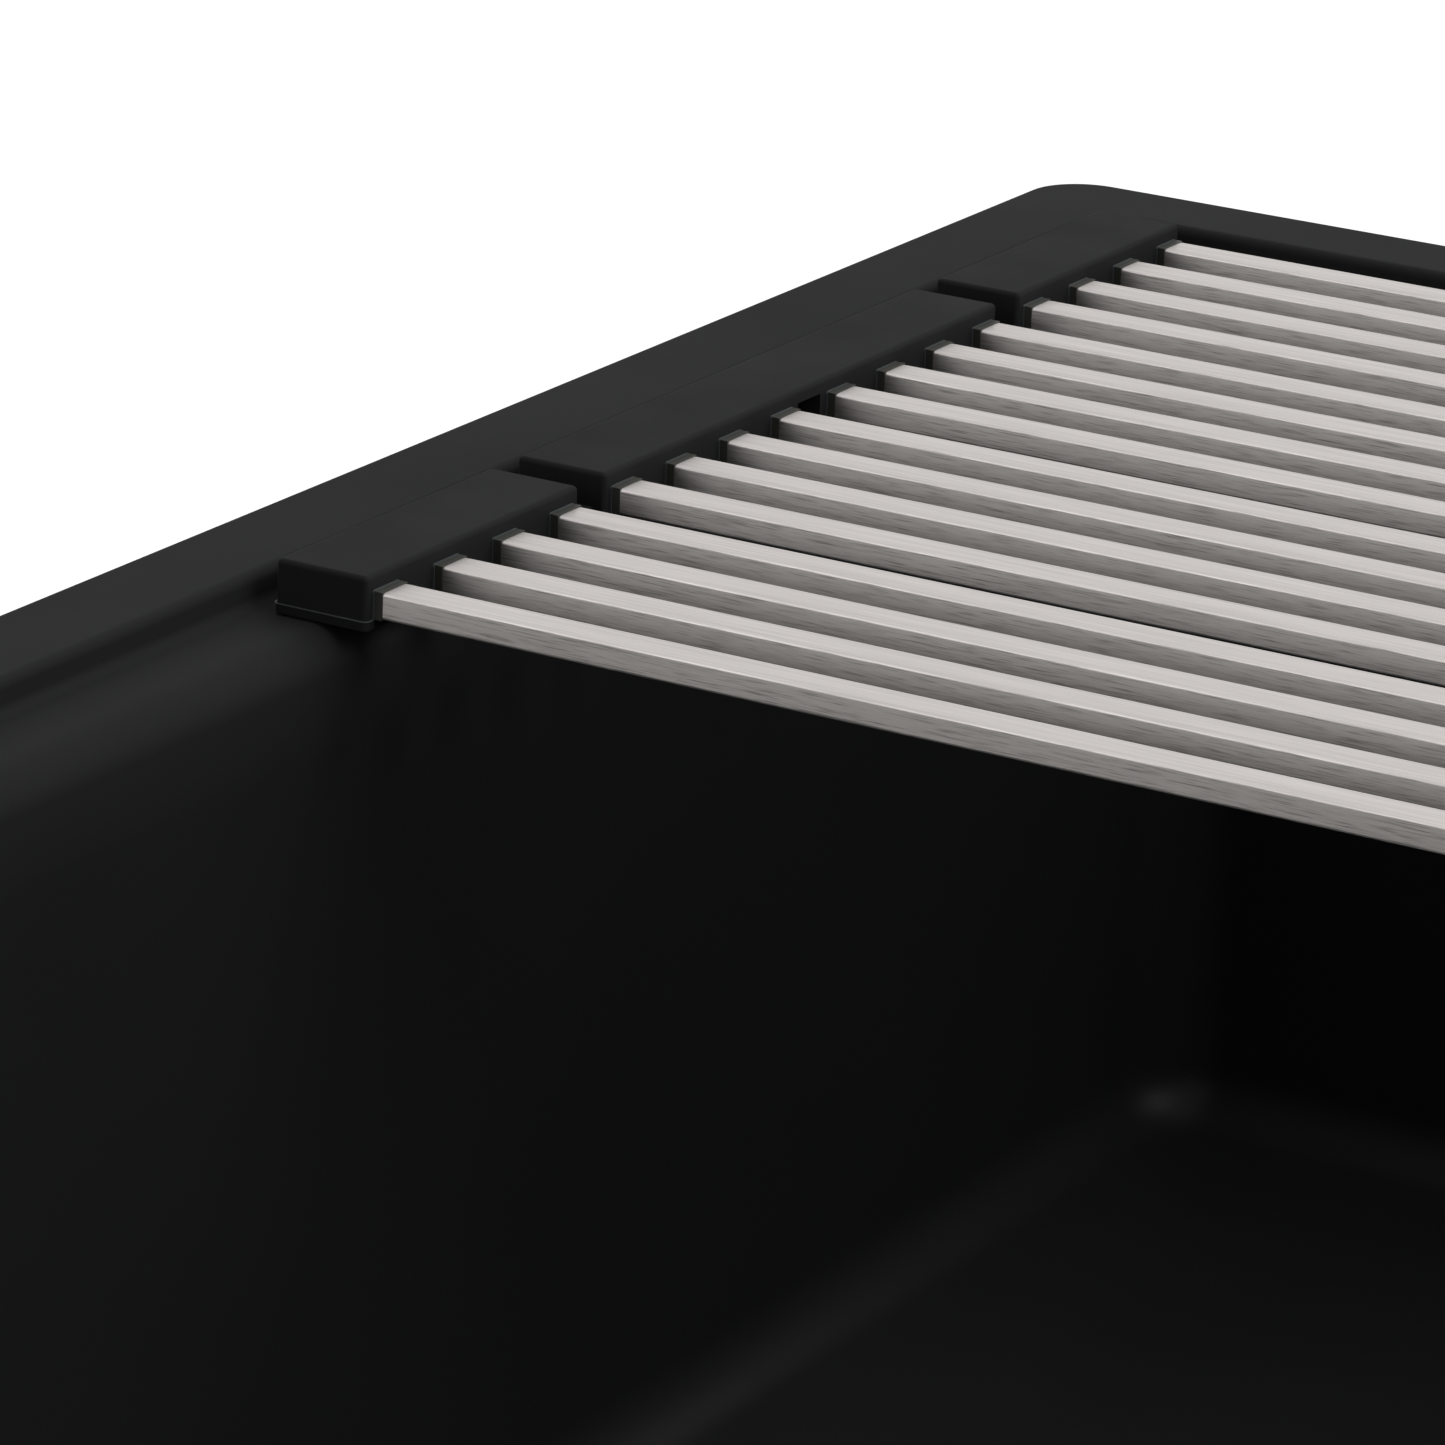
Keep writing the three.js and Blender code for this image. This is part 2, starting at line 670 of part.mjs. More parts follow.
const bar = barGeometry();
panels.forEach((letter, panel) => {
  addBothSides(`end_block_${letter}`, blockGeometry(panel));
  for (let number = 0; number < barsPerPanel; number += 1) {
    const piece = addPiece(`bar_${letter}${number + 1}`, bar, brushedSteel);
    piece.position.set(barCentre(panel, number), 0, (barTop + barBottom) / 2);
  }
});
addBothSides('fold_web_ab', webGeometry(0, blockBottom, blockBottom + bottomWebThickness));
addBothSides('fold_web_bc', webGeometry(1, blockTop - topWebThickness, blockTop));
addBothSides('fold_web_cd', webGeometry(2, blockBottom, blockBottom + bottomWebThickness));

export default sink;
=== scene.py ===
from math import atan2, cos, degrees, pi, radians, sin, tan

import bpy
from mathutils import Matrix, Vector
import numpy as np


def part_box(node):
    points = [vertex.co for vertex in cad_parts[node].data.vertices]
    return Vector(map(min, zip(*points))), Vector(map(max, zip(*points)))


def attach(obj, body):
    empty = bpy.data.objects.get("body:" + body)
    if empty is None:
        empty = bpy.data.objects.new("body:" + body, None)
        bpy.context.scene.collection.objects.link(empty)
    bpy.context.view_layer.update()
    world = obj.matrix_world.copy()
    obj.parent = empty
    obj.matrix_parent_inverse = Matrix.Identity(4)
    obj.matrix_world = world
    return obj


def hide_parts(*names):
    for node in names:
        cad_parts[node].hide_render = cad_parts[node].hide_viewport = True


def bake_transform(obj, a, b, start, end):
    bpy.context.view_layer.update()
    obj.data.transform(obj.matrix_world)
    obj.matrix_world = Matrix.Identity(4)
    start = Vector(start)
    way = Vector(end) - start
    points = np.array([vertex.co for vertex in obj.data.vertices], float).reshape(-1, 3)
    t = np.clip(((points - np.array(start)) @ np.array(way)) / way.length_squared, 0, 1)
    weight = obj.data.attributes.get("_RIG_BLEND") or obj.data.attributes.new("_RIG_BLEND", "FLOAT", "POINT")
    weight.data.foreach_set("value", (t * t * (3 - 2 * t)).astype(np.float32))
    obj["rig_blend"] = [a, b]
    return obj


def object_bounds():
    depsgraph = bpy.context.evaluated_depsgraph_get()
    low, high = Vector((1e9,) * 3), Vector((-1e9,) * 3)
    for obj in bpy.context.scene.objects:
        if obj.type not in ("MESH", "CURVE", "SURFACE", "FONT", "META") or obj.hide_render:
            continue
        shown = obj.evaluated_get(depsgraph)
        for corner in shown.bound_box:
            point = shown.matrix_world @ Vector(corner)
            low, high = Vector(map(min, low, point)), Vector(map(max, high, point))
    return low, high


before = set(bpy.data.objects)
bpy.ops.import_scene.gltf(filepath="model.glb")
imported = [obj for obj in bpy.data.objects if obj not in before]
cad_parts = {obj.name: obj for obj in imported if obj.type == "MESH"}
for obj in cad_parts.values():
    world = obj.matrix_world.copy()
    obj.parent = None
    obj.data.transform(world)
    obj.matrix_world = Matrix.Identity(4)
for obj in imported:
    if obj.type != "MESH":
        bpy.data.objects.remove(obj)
cad_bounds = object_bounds()

MM = 0.001

# ---------------------------------------------------------------- sizes, in millimetres

# bowl
RIM_WIDTH = 25
RIM_THICKNESS = 12
RIM_CORNER = 15
RIM_EDGE_ROUND = 1.6
RIM_UNDERSIDE_BREAK = 1
STEP_DEPTH = 7.1
STEP_ROUND = 2.2
STEP_CORNER = 12
CREASE_ROUND = 2.2
LEDGE_WIDTH = 23
LIP_RADIUS = 8.5
WALL = 10
WALL_DRAFT = radians(2)
BOWL_DEPTH = 222
BOWL_CORNER = 20
FLOOR_FILLET = 14
FLOOR_FALL = 8
HAUNCH_HEIGHT = 22
LEDGE_END_INSET = 0.3
CORNER_STEPS = 12
WELD = 0.02             # vertices closer than this are one
MATT_BOTTOM = -8        # the skin is matt from the rim down to here
SATIN_TOP = -32         # and satin from here down

# drain
THROAT_RADIUS = 45.5
THROAT_BREAK = 1
RECESS_RADIUS = 58.5
RECESS_ROUND = 2
RECESS_DEPTH = 4
SEAT_RADIUS = 68
SEAT_SLOPE = 6
TURN_STEPS = 72
FLANGE_RADIUS = 57
FLANGE_TOP = -230.7
FLANGE_UNDERSIDE = -231.9
FLANGE_EDGE = 0.4
STRAINER_RADIUS = 44.9
STRAINER_BORE = 43.6
STRAINER_ROUND = 3
STRAINER_WALL = 1.3
MOUTH_ROUND = 3.4       # from the flange into the bore
MOUTH_DISH = 0.4        # how far the flange dips to the mouth
FLANGE_ROLL = 0.7       # radius of the flange's rolled edge
STRAINER_FLOOR = -276.7
STRAINER_UNDERSIDE = -278
OUTLET_RADIUS = 24.4
OUTLET_BORE = 21.8
OUTLET_END = -298
SPOKE_HALF_WIDTH = 1.5
SPOKE_HEIGHT = 2.5
SPOKE_BREAK = 0.5
THREAD_PITCH = 2.4
THREAD_DEPTH = 0.4
NUT_BORE = 45.2
LOCK_NUT_RADIUS = 53.2
LOCK_NUT_TOP = -248.9
LOCK_NUT_BOTTOM = -260.9
LUG_COUNT = 6
LUG_RADIUS = 57.2
LUG_TURN = 20           # degrees
LUG_BREAK = 0.6
COUPLING_FLATS = 8
COUPLING_APOTHEM = 29.7
COUPLING_CORNER = 31.9
COUPLING_FACE_INSET = 1.2
COUPLING_SLOPE = 1.8
COUPLING_TOP = -283
COUPLING_LIP_TOP = -300.6
COUPLING_BOTTOM = -303
COUPLING_BORE = 24.7
COUPLING_LIP_BORE = 19.3
NUT_CHAMFER = 0.8
CUT_PAST = 1            # how far a cutting piece runs past what it cuts
BASKET_RIM = 42.8
BASKET_TOP = -235.7
BASKET_UPPER = 41.6
BASKET_LOWER = 38.1
BASKET_BOTTOM = -272.8
BASKET_WALL = 1
BASKET_ROUND = 2
BASKET_BORE = 3.5
BASKET_RIM_ROUND = 0.9
BASKET_HOLE = 2.5
BASKET_HOLE_RINGS = [(6, 13), (12, 24)]     # how many holes, at which radius
DRILL_STEPS = 24
DRILL_TURN = 0.05       # keeps a drill's corners off the edges that it cuts
STOPPER_RADIUS = 33
STOPPER_TOP = -273.1
STOPPER_BOTTOM = -276.4
STOPPER_EDGE = 0.3
STOPPER_LIP = 0.8
POST_RADIUS = 3.2
POST_BOTTOM = -276.1
POST_EDGE = 0.4
KNOB_RADIUS = 9
KNOB_SHOULDER = -239.2
KNOB_TOP = -233.7
KNOB_FOOT = -244.7
KNOB_FOOT_ROUND = 1.6
KNOB_STEPS = 9

# rack
BAR_ROUND = 0.55
BAR_CROWN_WIDTH = 1.2
BAR_CROWN_DROP = 0.1
BAR_LINE_WIDTH = 0.3
BAR_LINE_DEPTH = 0.08
BAR_WALL = 0.8
BLOCK_ROUND = 1.1
BLOCK_EDGE_BREAK = 0.4
BASE_HEIGHT = 2.3
BASE_PROUD = 0.25
FIN_THICKNESS = 0.22
FIN_PROUD = 0.2
RING_THICKNESS = 0.18
RING_PROUD = 0.16
COLLAR_LENGTH = 2
COLLAR_WALL = 0.13
COLLAR_ROUND = 0.1
SOCKET_PLAY = 0.05
SOCKET_BOTTOM = 3.5
LOW_WEB_DROP = 2
LOW_WEB_INSET = 3
LOW_WEB_STEPS = 16

# ---------------------------------------------------------------- camera, light and floor

CAMERA_PLACE = Vector((-1.1226, -0.5608, 0.4369))
CAMERA_HEADING = radians(30.27)     # from +X towards +Y
CAMERA_PITCH = radians(18.62)       # below the horizon
CAMERA_ROLL = radians(2.05)
CAMERA_LENS = 180.37
SENSOR = 36
FLOOR_HALF = 60
FLOOR_GLOW = 1.28       # of the floor as the camera sees it
FLOOR_GLOW_SHARE = 0.7  # the rest of what the camera sees is lit, and so shows the shadow
WORLD_LIGHT = 0.35
WORLD_SHOWN = 1
SOFTBOXES = [           # name, place, target, size and power
    ("overhead", (1.5, -0.5, 2.0), (0.15, 0, -0.1), (2.0, 1.6), 22),
    ("front_key", (0.1, -1.9, 1.7), (0.1, 0, -0.05), (1.6, 1.2), 32),
    ("side_glow", (-2.4, 1.45, 1.0), (0.2, 0, 0), (1.2, 1.0), 7),
]


def add_camera():
    """The photograph's view: a long lens from above the sink's front left corner."""
    ahead = Vector((
        cos(CAMERA_HEADING) * cos(CAMERA_PITCH),
        sin(CAMERA_HEADING) * cos(CAMERA_PITCH),
        -sin(CAMERA_PITCH),
    ))
    level_right = ahead.cross(Vector((0, 0, 1))).normalized()
    level_up = level_right.cross(ahead)
    right = level_right * cos(CAMERA_ROLL) + level_up * sin(CAMERA_ROLL)
    up = right.cross(ahead)
    turn = Matrix((right, up, -ahead)).transposed().to_4x4()
    data = bpy.data.cameras.new("camera")
    data.lens = CAMERA_LENS
    data.sensor_width = SENSOR
    data.clip_start = 0.02
    data.clip_end = 200
    camera = bpy.data.objects.new("camera", data)
    camera.matrix_world = Matrix.Translation(CAMERA_PLACE) @ turn
    bpy.context.scene.collection.objects.link(camera)
    bpy.context.scene.camera = camera


def add_softbox(name, place, target, size, power):
    data = bpy.data.lights.new(name, "AREA")
    data.shape = "RECTANGLE"
    data.size = size[0]
    data.size_y = size[1]
    data.energy = power
    lamp = bpy.data.objects.new(name, data)
    lamp.location = place
    lamp.rotation_euler = (Vector(target) - Vector(place)).to_track_quat("-Z", "Y").to_euler()
    bpy.context.scene.collection.objects.link(lamp)


def new_material(name):
    """A material with its node tree emptied but for the output."""
    material = bpy.data.materials.new(name)
    material.use_nodes = True
    tree = material.node_tree
    for node in list(tree.nodes):
        if node.type != "OUTPUT_MATERIAL":
            tree.nodes.remove(node)
    return material, tree.nodes, tree.links


def seen_or_mirrored(nodes, links):
    """1 for the rays of the camera and of reflections, 0 for the rest."""
    path = nodes.new("ShaderNodeLightPath")
    seen = nodes.new("ShaderNodeMath")
    seen.operation = "MAXIMUM"
    links.new(path.outputs["Is Camera Ray"], seen.inputs[0])
    links.new(path.outputs["Is Glossy Ray"], seen.inputs[1])
    return seen.outputs[0]


def floor_material():
    """White to the camera and in reflections, with a trace of the object's shadow."""
    material, nodes, links = new_material("studio_floor")
    share = nodes.new("ShaderNodeMath")
    share.operation = "MULTIPLY"
    share.inputs[1].default_value = FLOOR_GLOW_SHARE
    links.new(seen_or_mirrored(nodes, links), share.inputs[0])
    matte = nodes.new("ShaderNodeBsdfDiffuse")
    matte.inputs["Color"].default_value = (0.86, 0.86, 0.86, 1)
    glow = nodes.new("ShaderNodeEmission")
    glow.inputs["Strength"].default_value = FLOOR_GLOW
    mix = nodes.new("ShaderNodeMixShader")
    links.new(share.outputs[0], mix.inputs[0])
    links.new(matte.outputs[0], mix.inputs[1])
    links.new(glow.outputs[0], mix.inputs[2])
    links.new(mix.outputs[0], nodes["Material Output"].inputs["Surface"])
    return material


def add_floor():
    bpy.ops.object.select_all(action="DESELECT")
    bpy.ops.mesh.primitive_plane_add(size=2 * FLOOR_HALF, location=(0, 0, cad_bounds[0][2]))
    floor = bpy.context.object
    floor.name = "studio_floor"
    floor.data.materials.append(floor_material())


def set_world(strength, shown):
    """A plain white surround: shown to the camera and in reflections at one level, lighting at another."""
    world = bpy.data.worlds.new("studio")
    bpy.context.scene.world = world
    world.use_nodes = True
    nodes = world.node_tree.nodes
    links = world.node_tree.links
    nodes.clear()
    light = nodes.new("ShaderNodeBackground")
    light.inputs["Strength"].default_value = strength
    backdrop = nodes.new("ShaderNodeBackground")
    backdrop.inputs["Color"].default_value = (1, 1, 1, 1)
    backdrop.inputs["Strength"].default_value = shown
    mix = nodes.new("ShaderNodeMixShader")
    output = nodes.new("ShaderNodeOutputWorld")
    links.new(seen_or_mirrored(nodes, links), mix.inputs[0])
    links.new(light.outputs[0], mix.inputs[1])
    links.new(backdrop.outputs[0], mix.inputs[2])
    links.new(mix.outputs[0], output.inputs["Surface"])


# ---------------------------------------------------------------- materials


def finish_nodes(name, color, roughness, metallic=0.0, specular=0.5):
    """A shader with its uniform values on its own sockets, and Object coordinates for its patterns."""
    material, nodes, links = new_material(name)
    shader = nodes.new("ShaderNodeBsdfPrincipled")
    shader.inputs["Base Color"].default_value = (*color, 1)
    shader.inputs["Roughness"].default_value = roughness
    shader.inputs["Metallic"].default_value = metallic
    shader.inputs["Specular IOR Level"].default_value = specular
    links.new(shader.outputs[0], nodes["Material Output"].inputs["Surface"])
    place = nodes.new("ShaderNodeTexCoord")
    return material, nodes, links, shader, place


def add_noise(nodes, links, place, scale, detail=3, stretch=(1, 1, 1)):
    """Noise over Object coordinates, its cells stretched by axis. Scale is in cells to the metre."""
    mapping = nodes.new("ShaderNodeMapping")
    mapping.inputs["Scale"].default_value = stretch
    links.new(place.outputs["Object"], mapping.inputs["Vector"])
    noise = nodes.new("ShaderNodeTexNoise")
    noise.inputs["Scale"].default_value = scale
    noise.inputs["Detail"].default_value = detail
    links.new(mapping.outputs[0], noise.inputs["Vector"])
    return noise.outputs["Fac"]


def spread(nodes, links, source, low, high, source_low=0.3, source_high=0.7):
    """A range of the source, by default the middle of a noise, spread between two values."""
    ramp = nodes.new("ShaderNodeMapRange")
    ramp.inputs["From Min"].default_value = source_low
    ramp.inputs["From Max"].default_value = source_high
    ramp.inputs["To Min"].default_value = low
    ramp.inputs["To Max"].default_value = high
    links.new(source, ramp.inputs["Value"])
    return ramp.outputs["Result"]


def blend_colors(nodes, links, source, first, second):
    mix = nodes.new("ShaderNodeMix")
    mix.data_type = "RGBA"
    mix.inputs["A"].default_value = (*first, 1)
    mix.inputs["B"].default_value = (*second, 1)
    links.new(source, mix.inputs["Factor"])
    return mix.outputs["Result"]


def tint_between(nodes, links, source, first, second, shader):
    links.new(blend_colors(nodes, links, source, first, second), shader.inputs["Base Color"])


def add_bump(nodes, links, height, shader, strength, depth):
    bump = nodes.new("ShaderNodeBump")
    bump.inputs["Strength"].default_value = strength
    bump.inputs["Distance"].default_value = depth
    links.new(height, bump.inputs["Height"])
    links.new(bump.outputs["Normal"], shader.inputs["Normal"])


def composite_face():
    """The moulded side of the composite, whose resin skin is satin in the basin and matt on the rim."""
    material, nodes, links, shader, place = finish_nodes(
        "composite_face", (0.0125, 0.0128, 0.0131), 0.6, specular=0.12)
    cloud = add_noise(nodes, links, place, 14)
    grit = add_noise(nodes, links, place, 1800, detail=2)
    tint_between(nodes, links, grit, (0.0105, 0.0108, 0.0111), (0.0145, 0.0148, 0.0150), shader)
    parts = nodes.new("ShaderNodeSeparateXYZ")
    links.new(place.outputs["Object"], parts.inputs[0])
    by_height = spread(nodes, links, parts.outputs["Z"], 0.48, 0.86, SATIN_TOP * MM, MATT_BOTTOM * MM)
    unevenness = nodes.new("ShaderNodeMath")
    links.new(by_height, unevenness.inputs[0])
    links.new(spread(nodes, links, cloud, -0.03, 0.03), unevenness.inputs[1])
    links.new(unevenness.outputs[0], shader.inputs["Roughness"])
    add_bump(nodes, links, grit, shader, 0.25, 0.00002)
    return material


def composite_back():
    """The back of the casting: duller, with the grain of the filler showing."""
    material, nodes, links, shader, place = finish_nodes(
        "composite_back", (0.017, 0.017, 0.017), 0.72, specular=0.3)
    cloud = add_noise(nodes, links, place, 22)
    grit = add_noise(nodes, links, place, 700, detail=4)
    tint_between(nodes, links, grit, (0.011, 0.0112, 0.0115), (0.023, 0.0232, 0.0235), shader)
    links.new(spread(nodes, links, cloud, 0.64, 0.78), shader.inputs["Roughness"])
    add_bump(nodes, links, grit, shader, 0.6, 0.00012)
    return material


def brushed_bar_steel():
    """Stainless tube brushed along its length, which is Y. Its narrow upright sides are painted darker in
    long streaks, chosen by which way the faces turn: painted shade and painted dark reflections.
    """
    material, nodes, links, shader, place = finish_nodes(
        "brushed_bar_steel", (0.58, 0.548, 0.529), 0.42, metallic=1.0)
    shader.inputs["Anisotropic"].default_value = 0.75
    shader.inputs["Anisotropic Rotation"].default_value = 0.25
    along = nodes.new("ShaderNodeCombineXYZ")
    along.inputs["Y"].default_value = 1
    links.new(along.outputs[0], shader.inputs["Tangent"])
    facing = nodes.new("ShaderNodeSeparateXYZ")
    links.new(place.outputs["Normal"], facing.inputs[0])
    upright = nodes.new("ShaderNodeMath")
    upright.operation = "ABSOLUTE"
    links.new(facing.outputs["X"], upright.inputs[0])
    # Long streaks: they bump the whole surface, and on the upright sides they also darken the colour as
    # painted shade.
    grain_and_shade_streaks = add_noise(nodes, links, place, 4200, detail=3, stretch=(1, 0.03, 1))
    painted_side_shade = nodes.new("ShaderNodeMath")
    painted_side_shade.operation = "MULTIPLY"
    links.new(spread(nodes, links, grain_and_shade_streaks, 0, 1, 0.5, 0.75), painted_side_shade.inputs[0])
    links.new(spread(nodes, links, upright.outputs[0], 0, 1, 0.8, 1), painted_side_shade.inputs[1])
    streak = add_noise(nodes, links, place, 1500, detail=3, stretch=(1, 0.02, 1))
    tint = blend_colors(nodes, links, spread(nodes, links, streak, 0, 1),
                        (0.530, 0.501, 0.484), (0.635, 0.600, 0.579))
    # The dark colour of the streaks on the upright sides: painted shade and painted dark reflections.
    painted_shade_mix = nodes.new("ShaderNodeMix")
    painted_shade_mix.data_type = "RGBA"
    painted_shade_mix.inputs["B"].default_value = (0.25, 0.234, 0.221, 1)
    links.new(tint, painted_shade_mix.inputs["A"])
    links.new(painted_side_shade.outputs[0], painted_shade_mix.inputs["Factor"])
    links.new(painted_shade_mix.outputs["Result"], shader.inputs["Base Color"])
    links.new(spread(nodes, links, streak, 0.46, 0.38), shader.inputs["Roughness"])
    add_bump(nodes, links, grain_and_shade_streaks, shader, 0.4, 0.00002)
    return material


def silicone_nodes(name, dark, light, roughness, specular):
    """Black silicone with a faint bloom, between two tints."""
    material, nodes, links, shader, place = finish_nodes(name, dark, roughness, specular=specular)
    cloud = add_noise(nodes, links, place, 60)
    fine = add_noise(nodes, links, place, 2500, detail=2)
    tint_between(nodes, links, spread(nodes, links, cloud, 0, 1), dark, light, shader)
    links.new(spread(nodes, links, cloud, roughness - 0.05, roughness + 0.05), shader.inputs["Roughness"])
    add_bump(nodes, links, fine, shader, 0.2, 0.00002)
    return material


def block_silicone():
    return silicone_nodes("block_silicone", (0.0162, 0.0165, 0.0170), (0.0182, 0.0185, 0.0190), 0.66, 0.03)


def collar_silicone():
    """The thin collars round the bars, in a paler and glossier silicone than the blocks."""
    return silicone_nodes("collar_silicone", (0.036, 0.036, 0.032), (0.046, 0.046, 0.040), 0.5, 0.2)


def flash_painted_glint():
    """The thin edges that the mould leaves. They are glossier than the blocks and painted much paler, as a
    painted highlight for the glint along them.
    """
    return silicone_nodes("flash_painted_glint", (0.060, 0.066, 0.070), (0.075, 0.082, 0.086), 0.45, 0.3)


def drain_steel():
    """Polished stainless of the strainer, with the faint rings of its spinning round the drain's axis."""
    material, nodes, links, shader, place = finish_nodes(
        "drain_steel", (0.70, 0.69, 0.68), 0.2, metallic=1.0)
    cloud = add_noise(nodes, links, place, 120)
    tint_between(nodes, links, cloud, (0.66, 0.65, 0.64), (0.76, 0.755, 0.75), shader)
    links.new(spread(nodes, links, cloud, 0.16, 0.26), shader.inputs["Roughness"])
    rings = nodes.new("ShaderNodeTexWave")
    rings.wave_type = "RINGS"
    rings.rings_direction = "Z"
    rings.inputs["Scale"].default_value = 600
    rings.inputs["Distortion"].default_value = 1
    links.new(place.outputs["Object"], rings.inputs["Vector"])
    add_bump(nodes, links, rings.outputs["Fac"], shader, 0.15, 0.00001)
    return material


def seal_rubber():
    material, nodes, links, shader, place = finish_nodes("seal_rubber", (0.016, 0.016, 0.016), 0.7)
    fine = add_noise(nodes, links, place, 1200, detail=3)
    tint_between(nodes, links, fine, (0.012, 0.012, 0.012), (0.024, 0.024, 0.024), shader)
    links.new(spread(nodes, links, fine, 0.62, 0.8), shader.inputs["Roughness"])
    add_bump(nodes, links, fine, shader, 0.3, 0.00004)
    return material


def washer_fibre():
    material, nodes, links, shader, place = finish_nodes("washer_fibre", (0.32, 0.06, 0.035), 0.85)
    fleck = add_noise(nodes, links, place, 900, detail=5, stretch=(1, 1, 3))
    tint_between(nodes, links, spread(nodes, links, fleck, 0, 1),
                 (0.22, 0.035, 0.022), (0.40, 0.09, 0.05), shader)
    add_bump(nodes, links, fleck, shader, 0.5, 0.00008)
    return material


def nut_zinc():
    material, nodes, links, shader, place = finish_nodes("nut_zinc", (0.42, 0.43, 0.43), 0.42, metallic=1.0)
    cast = add_noise(nodes, links, place, 500, detail=5)
    tint_between(nodes, links, cast, (0.34, 0.35, 0.35), (0.50, 0.51, 0.51), shader)
    links.new(spread(nodes, links, cast, 0.34, 0.52), shader.inputs["Roughness"])
    add_bump(nodes, links, cast, shader, 0.4, 0.00006)
    return material


# ---------------------------------------------------------------- modelling helpers


def leave_edit_mode():
    bpy.ops.object.mode_set(mode="OBJECT")


def deselect_all():
    if bpy.context.object and bpy.context.object.mode == "EDIT":
        leave_edit_mode()
    bpy.ops.object.select_all(action="DESELECT")


def take_up(piece):
    """Makes a piece the only one selected, and the active one."""
    deselect_all()
    piece.select_set(True)
    bpy.context.view_layer.objects.active = piece


def pick(piece, kind, wanted):
    """Enters edit mode with the vertices, edges or faces selected that pass the test."""
    take_up(piece)
    bpy.ops.object.mode_set(mode="EDIT")
    bpy.ops.mesh.select_mode(type={"vertices": "VERT", "edges": "EDGE", "polygons": "FACE"}[kind])
    bpy.ops.mesh.select_all(action="DESELECT")
    leave_edit_mode()
    for element in getattr(piece.data, kind):
        element.select = wanted(element)
    bpy.ops.object.mode_set(mode="EDIT")


def edge_ends(piece, edge):
    return [piece.data.vertices[index].co for index in edge.vertices]


def runs_along(piece, edge, axis):
    """True for an edge that runs along one axis alone."""
    first, second = edge_ends(piece, edge)
    step = second - first
    return all(abs(step[other]) < 1e-7 for other in range(3) if other != axis)


def new_box(name, low, high):
    """A box from its lowest to its highest corner, its place in its mesh."""
    deselect_all()
    centre = (Vector(low) + Vector(high)) / 2
    size = Vector(high) - Vector(low)
    bpy.ops.mesh.primitive_cube_add(size=1, location=centre, scale=size)
    bpy.ops.object.transform_apply(location=True, rotation=True, scale=True)
    piece = bpy.context.object
    piece.name = name
    piece.data.name = name
    return piece


def round_edges(piece, wanted, radius, segments):
    """Bevels the edges that pass the test, to a radius in millimetres."""
    pick(piece, "edges", wanted)
    bpy.ops.mesh.bevel(offset=radius * MM, offset_type="OFFSET", segments=segments, affect="EDGES")
    leave_edit_mode()


def shade(piece, angle=35):
    """Smooth shading up to an angle, leaning on the larger faces."""
    take_up(piece)
    bpy.ops.object.shade_smooth_by_angle(angle=radians(angle))
    bpy.ops.object.modifier_add(type="WEIGHTED_NORMAL")
    piece.modifiers[-1].keep_sharp = True
    bpy.ops.object.modifier_apply(modifier=piece.modifiers[-1].name)


def combine(piece, other, operation):
    """Joins another piece to this one, or cuts it away, and uses the other up."""
    take_up(piece)
    bpy.ops.object.modifier_add(type="BOOLEAN")
    modifier = piece.modifiers[-1]
    modifier.operation = operation
    modifier.solver = "EXACT"
    modifier.material_mode = "TRANSFER"
    modifier.object = other
    bpy.ops.object.modifier_apply(modifier=modifier.name)
    bpy.data.objects.remove(other)


def copied(piece, name, shift=(0, 0, 0), mirror=None):
    """A copy with its own mesh, moved, or mirrored across one axis with its faces turned back out."""
    copy = piece.copy()
    copy.data = piece.data.copy()
    copy.name = name
    copy.data.name = name
    bpy.context.scene.collection.objects.link(copy)
    take_up(copy)
    bpy.ops.object.mode_set(mode="EDIT")
    bpy.ops.mesh.select_all(action="SELECT")
    if mirror is not None:
        factors = [-1 if axis == mirror else 1 for axis in range(3)]
        bpy.ops.transform.resize(value=factors, center_override=(0, 0, 0))
        bpy.ops.mesh.normals_make_consistent(inside=False)
    bpy.ops.transform.translate(value=shift)
    leave_edit_mode()
    return copy


def slice_at(piece, x):
    """Cuts a row of vertices across the whole piece."""
    pick(piece, "polygons", lambda face: True)
    bpy.ops.mesh.bisect(plane_co=(x, 0, 0), plane_no=(1, 0, 0))
    leave_edit_mode()


def turned(name, outline):
    """A body of revolution round the drain's axis: a circle, extruded along radii and heights.

    The outline is in millimetres. It ends where it starts, or it starts and ends on the axis.
    """
    deselect_all()
    on_axis = WELD / 2
    radius, height = outline[0]
    start = max(radius, on_axis)
    bpy.ops.mesh.primitive_circle_add(vertices=TURN_STEPS, radius=start * MM, fill_type="NOTHING",
                                      location=(0, 0, height * MM))
    bpy.ops.object.transform_apply(location=True)
    piece = bpy.context.object
    piece.name = name
    piece.data.name = name
    bpy.ops.object.mode_set(mode="EDIT")
    bpy.ops.mesh.select_mode(type="EDGE")
    bpy.ops.mesh.select_all(action="SELECT")
    closed = outline if radius < on_axis else [*outline, outline[0]]
    was = (start, height)
    for radius, height in closed[1:]:
        width = max(radius, on_axis)
        bpy.ops.mesh.extrude_edges_move()
        bpy.ops.transform.translate(value=(0, 0, (height - was[1]) * MM))
        growth = width / was[0]
        bpy.ops.transform.resize(value=(growth, growth, 1), center_override=(0, 0, height * MM))
        was = (width, height)
    bpy.ops.mesh.select_all(action="SELECT")
    bpy.ops.mesh.remove_doubles(threshold=WELD * MM)
    bpy.ops.mesh.normals_make_consistent(inside=False)
    leave_edit_mode()
    return piece


def quarter(steps):
    """Points of a quarter arc, as shares of its two legs."""
    turns = [(index + 1) / steps * pi / 2 for index in range(steps)]
    return [(sin(turn), 1 - cos(turn)) for turn in turns]


def paint(piece, *materials):
    piece.data.materials.clear()
    for material in materials:
        piece.data.materials.append(material)


# ---------------------------------------------------------------- bowl

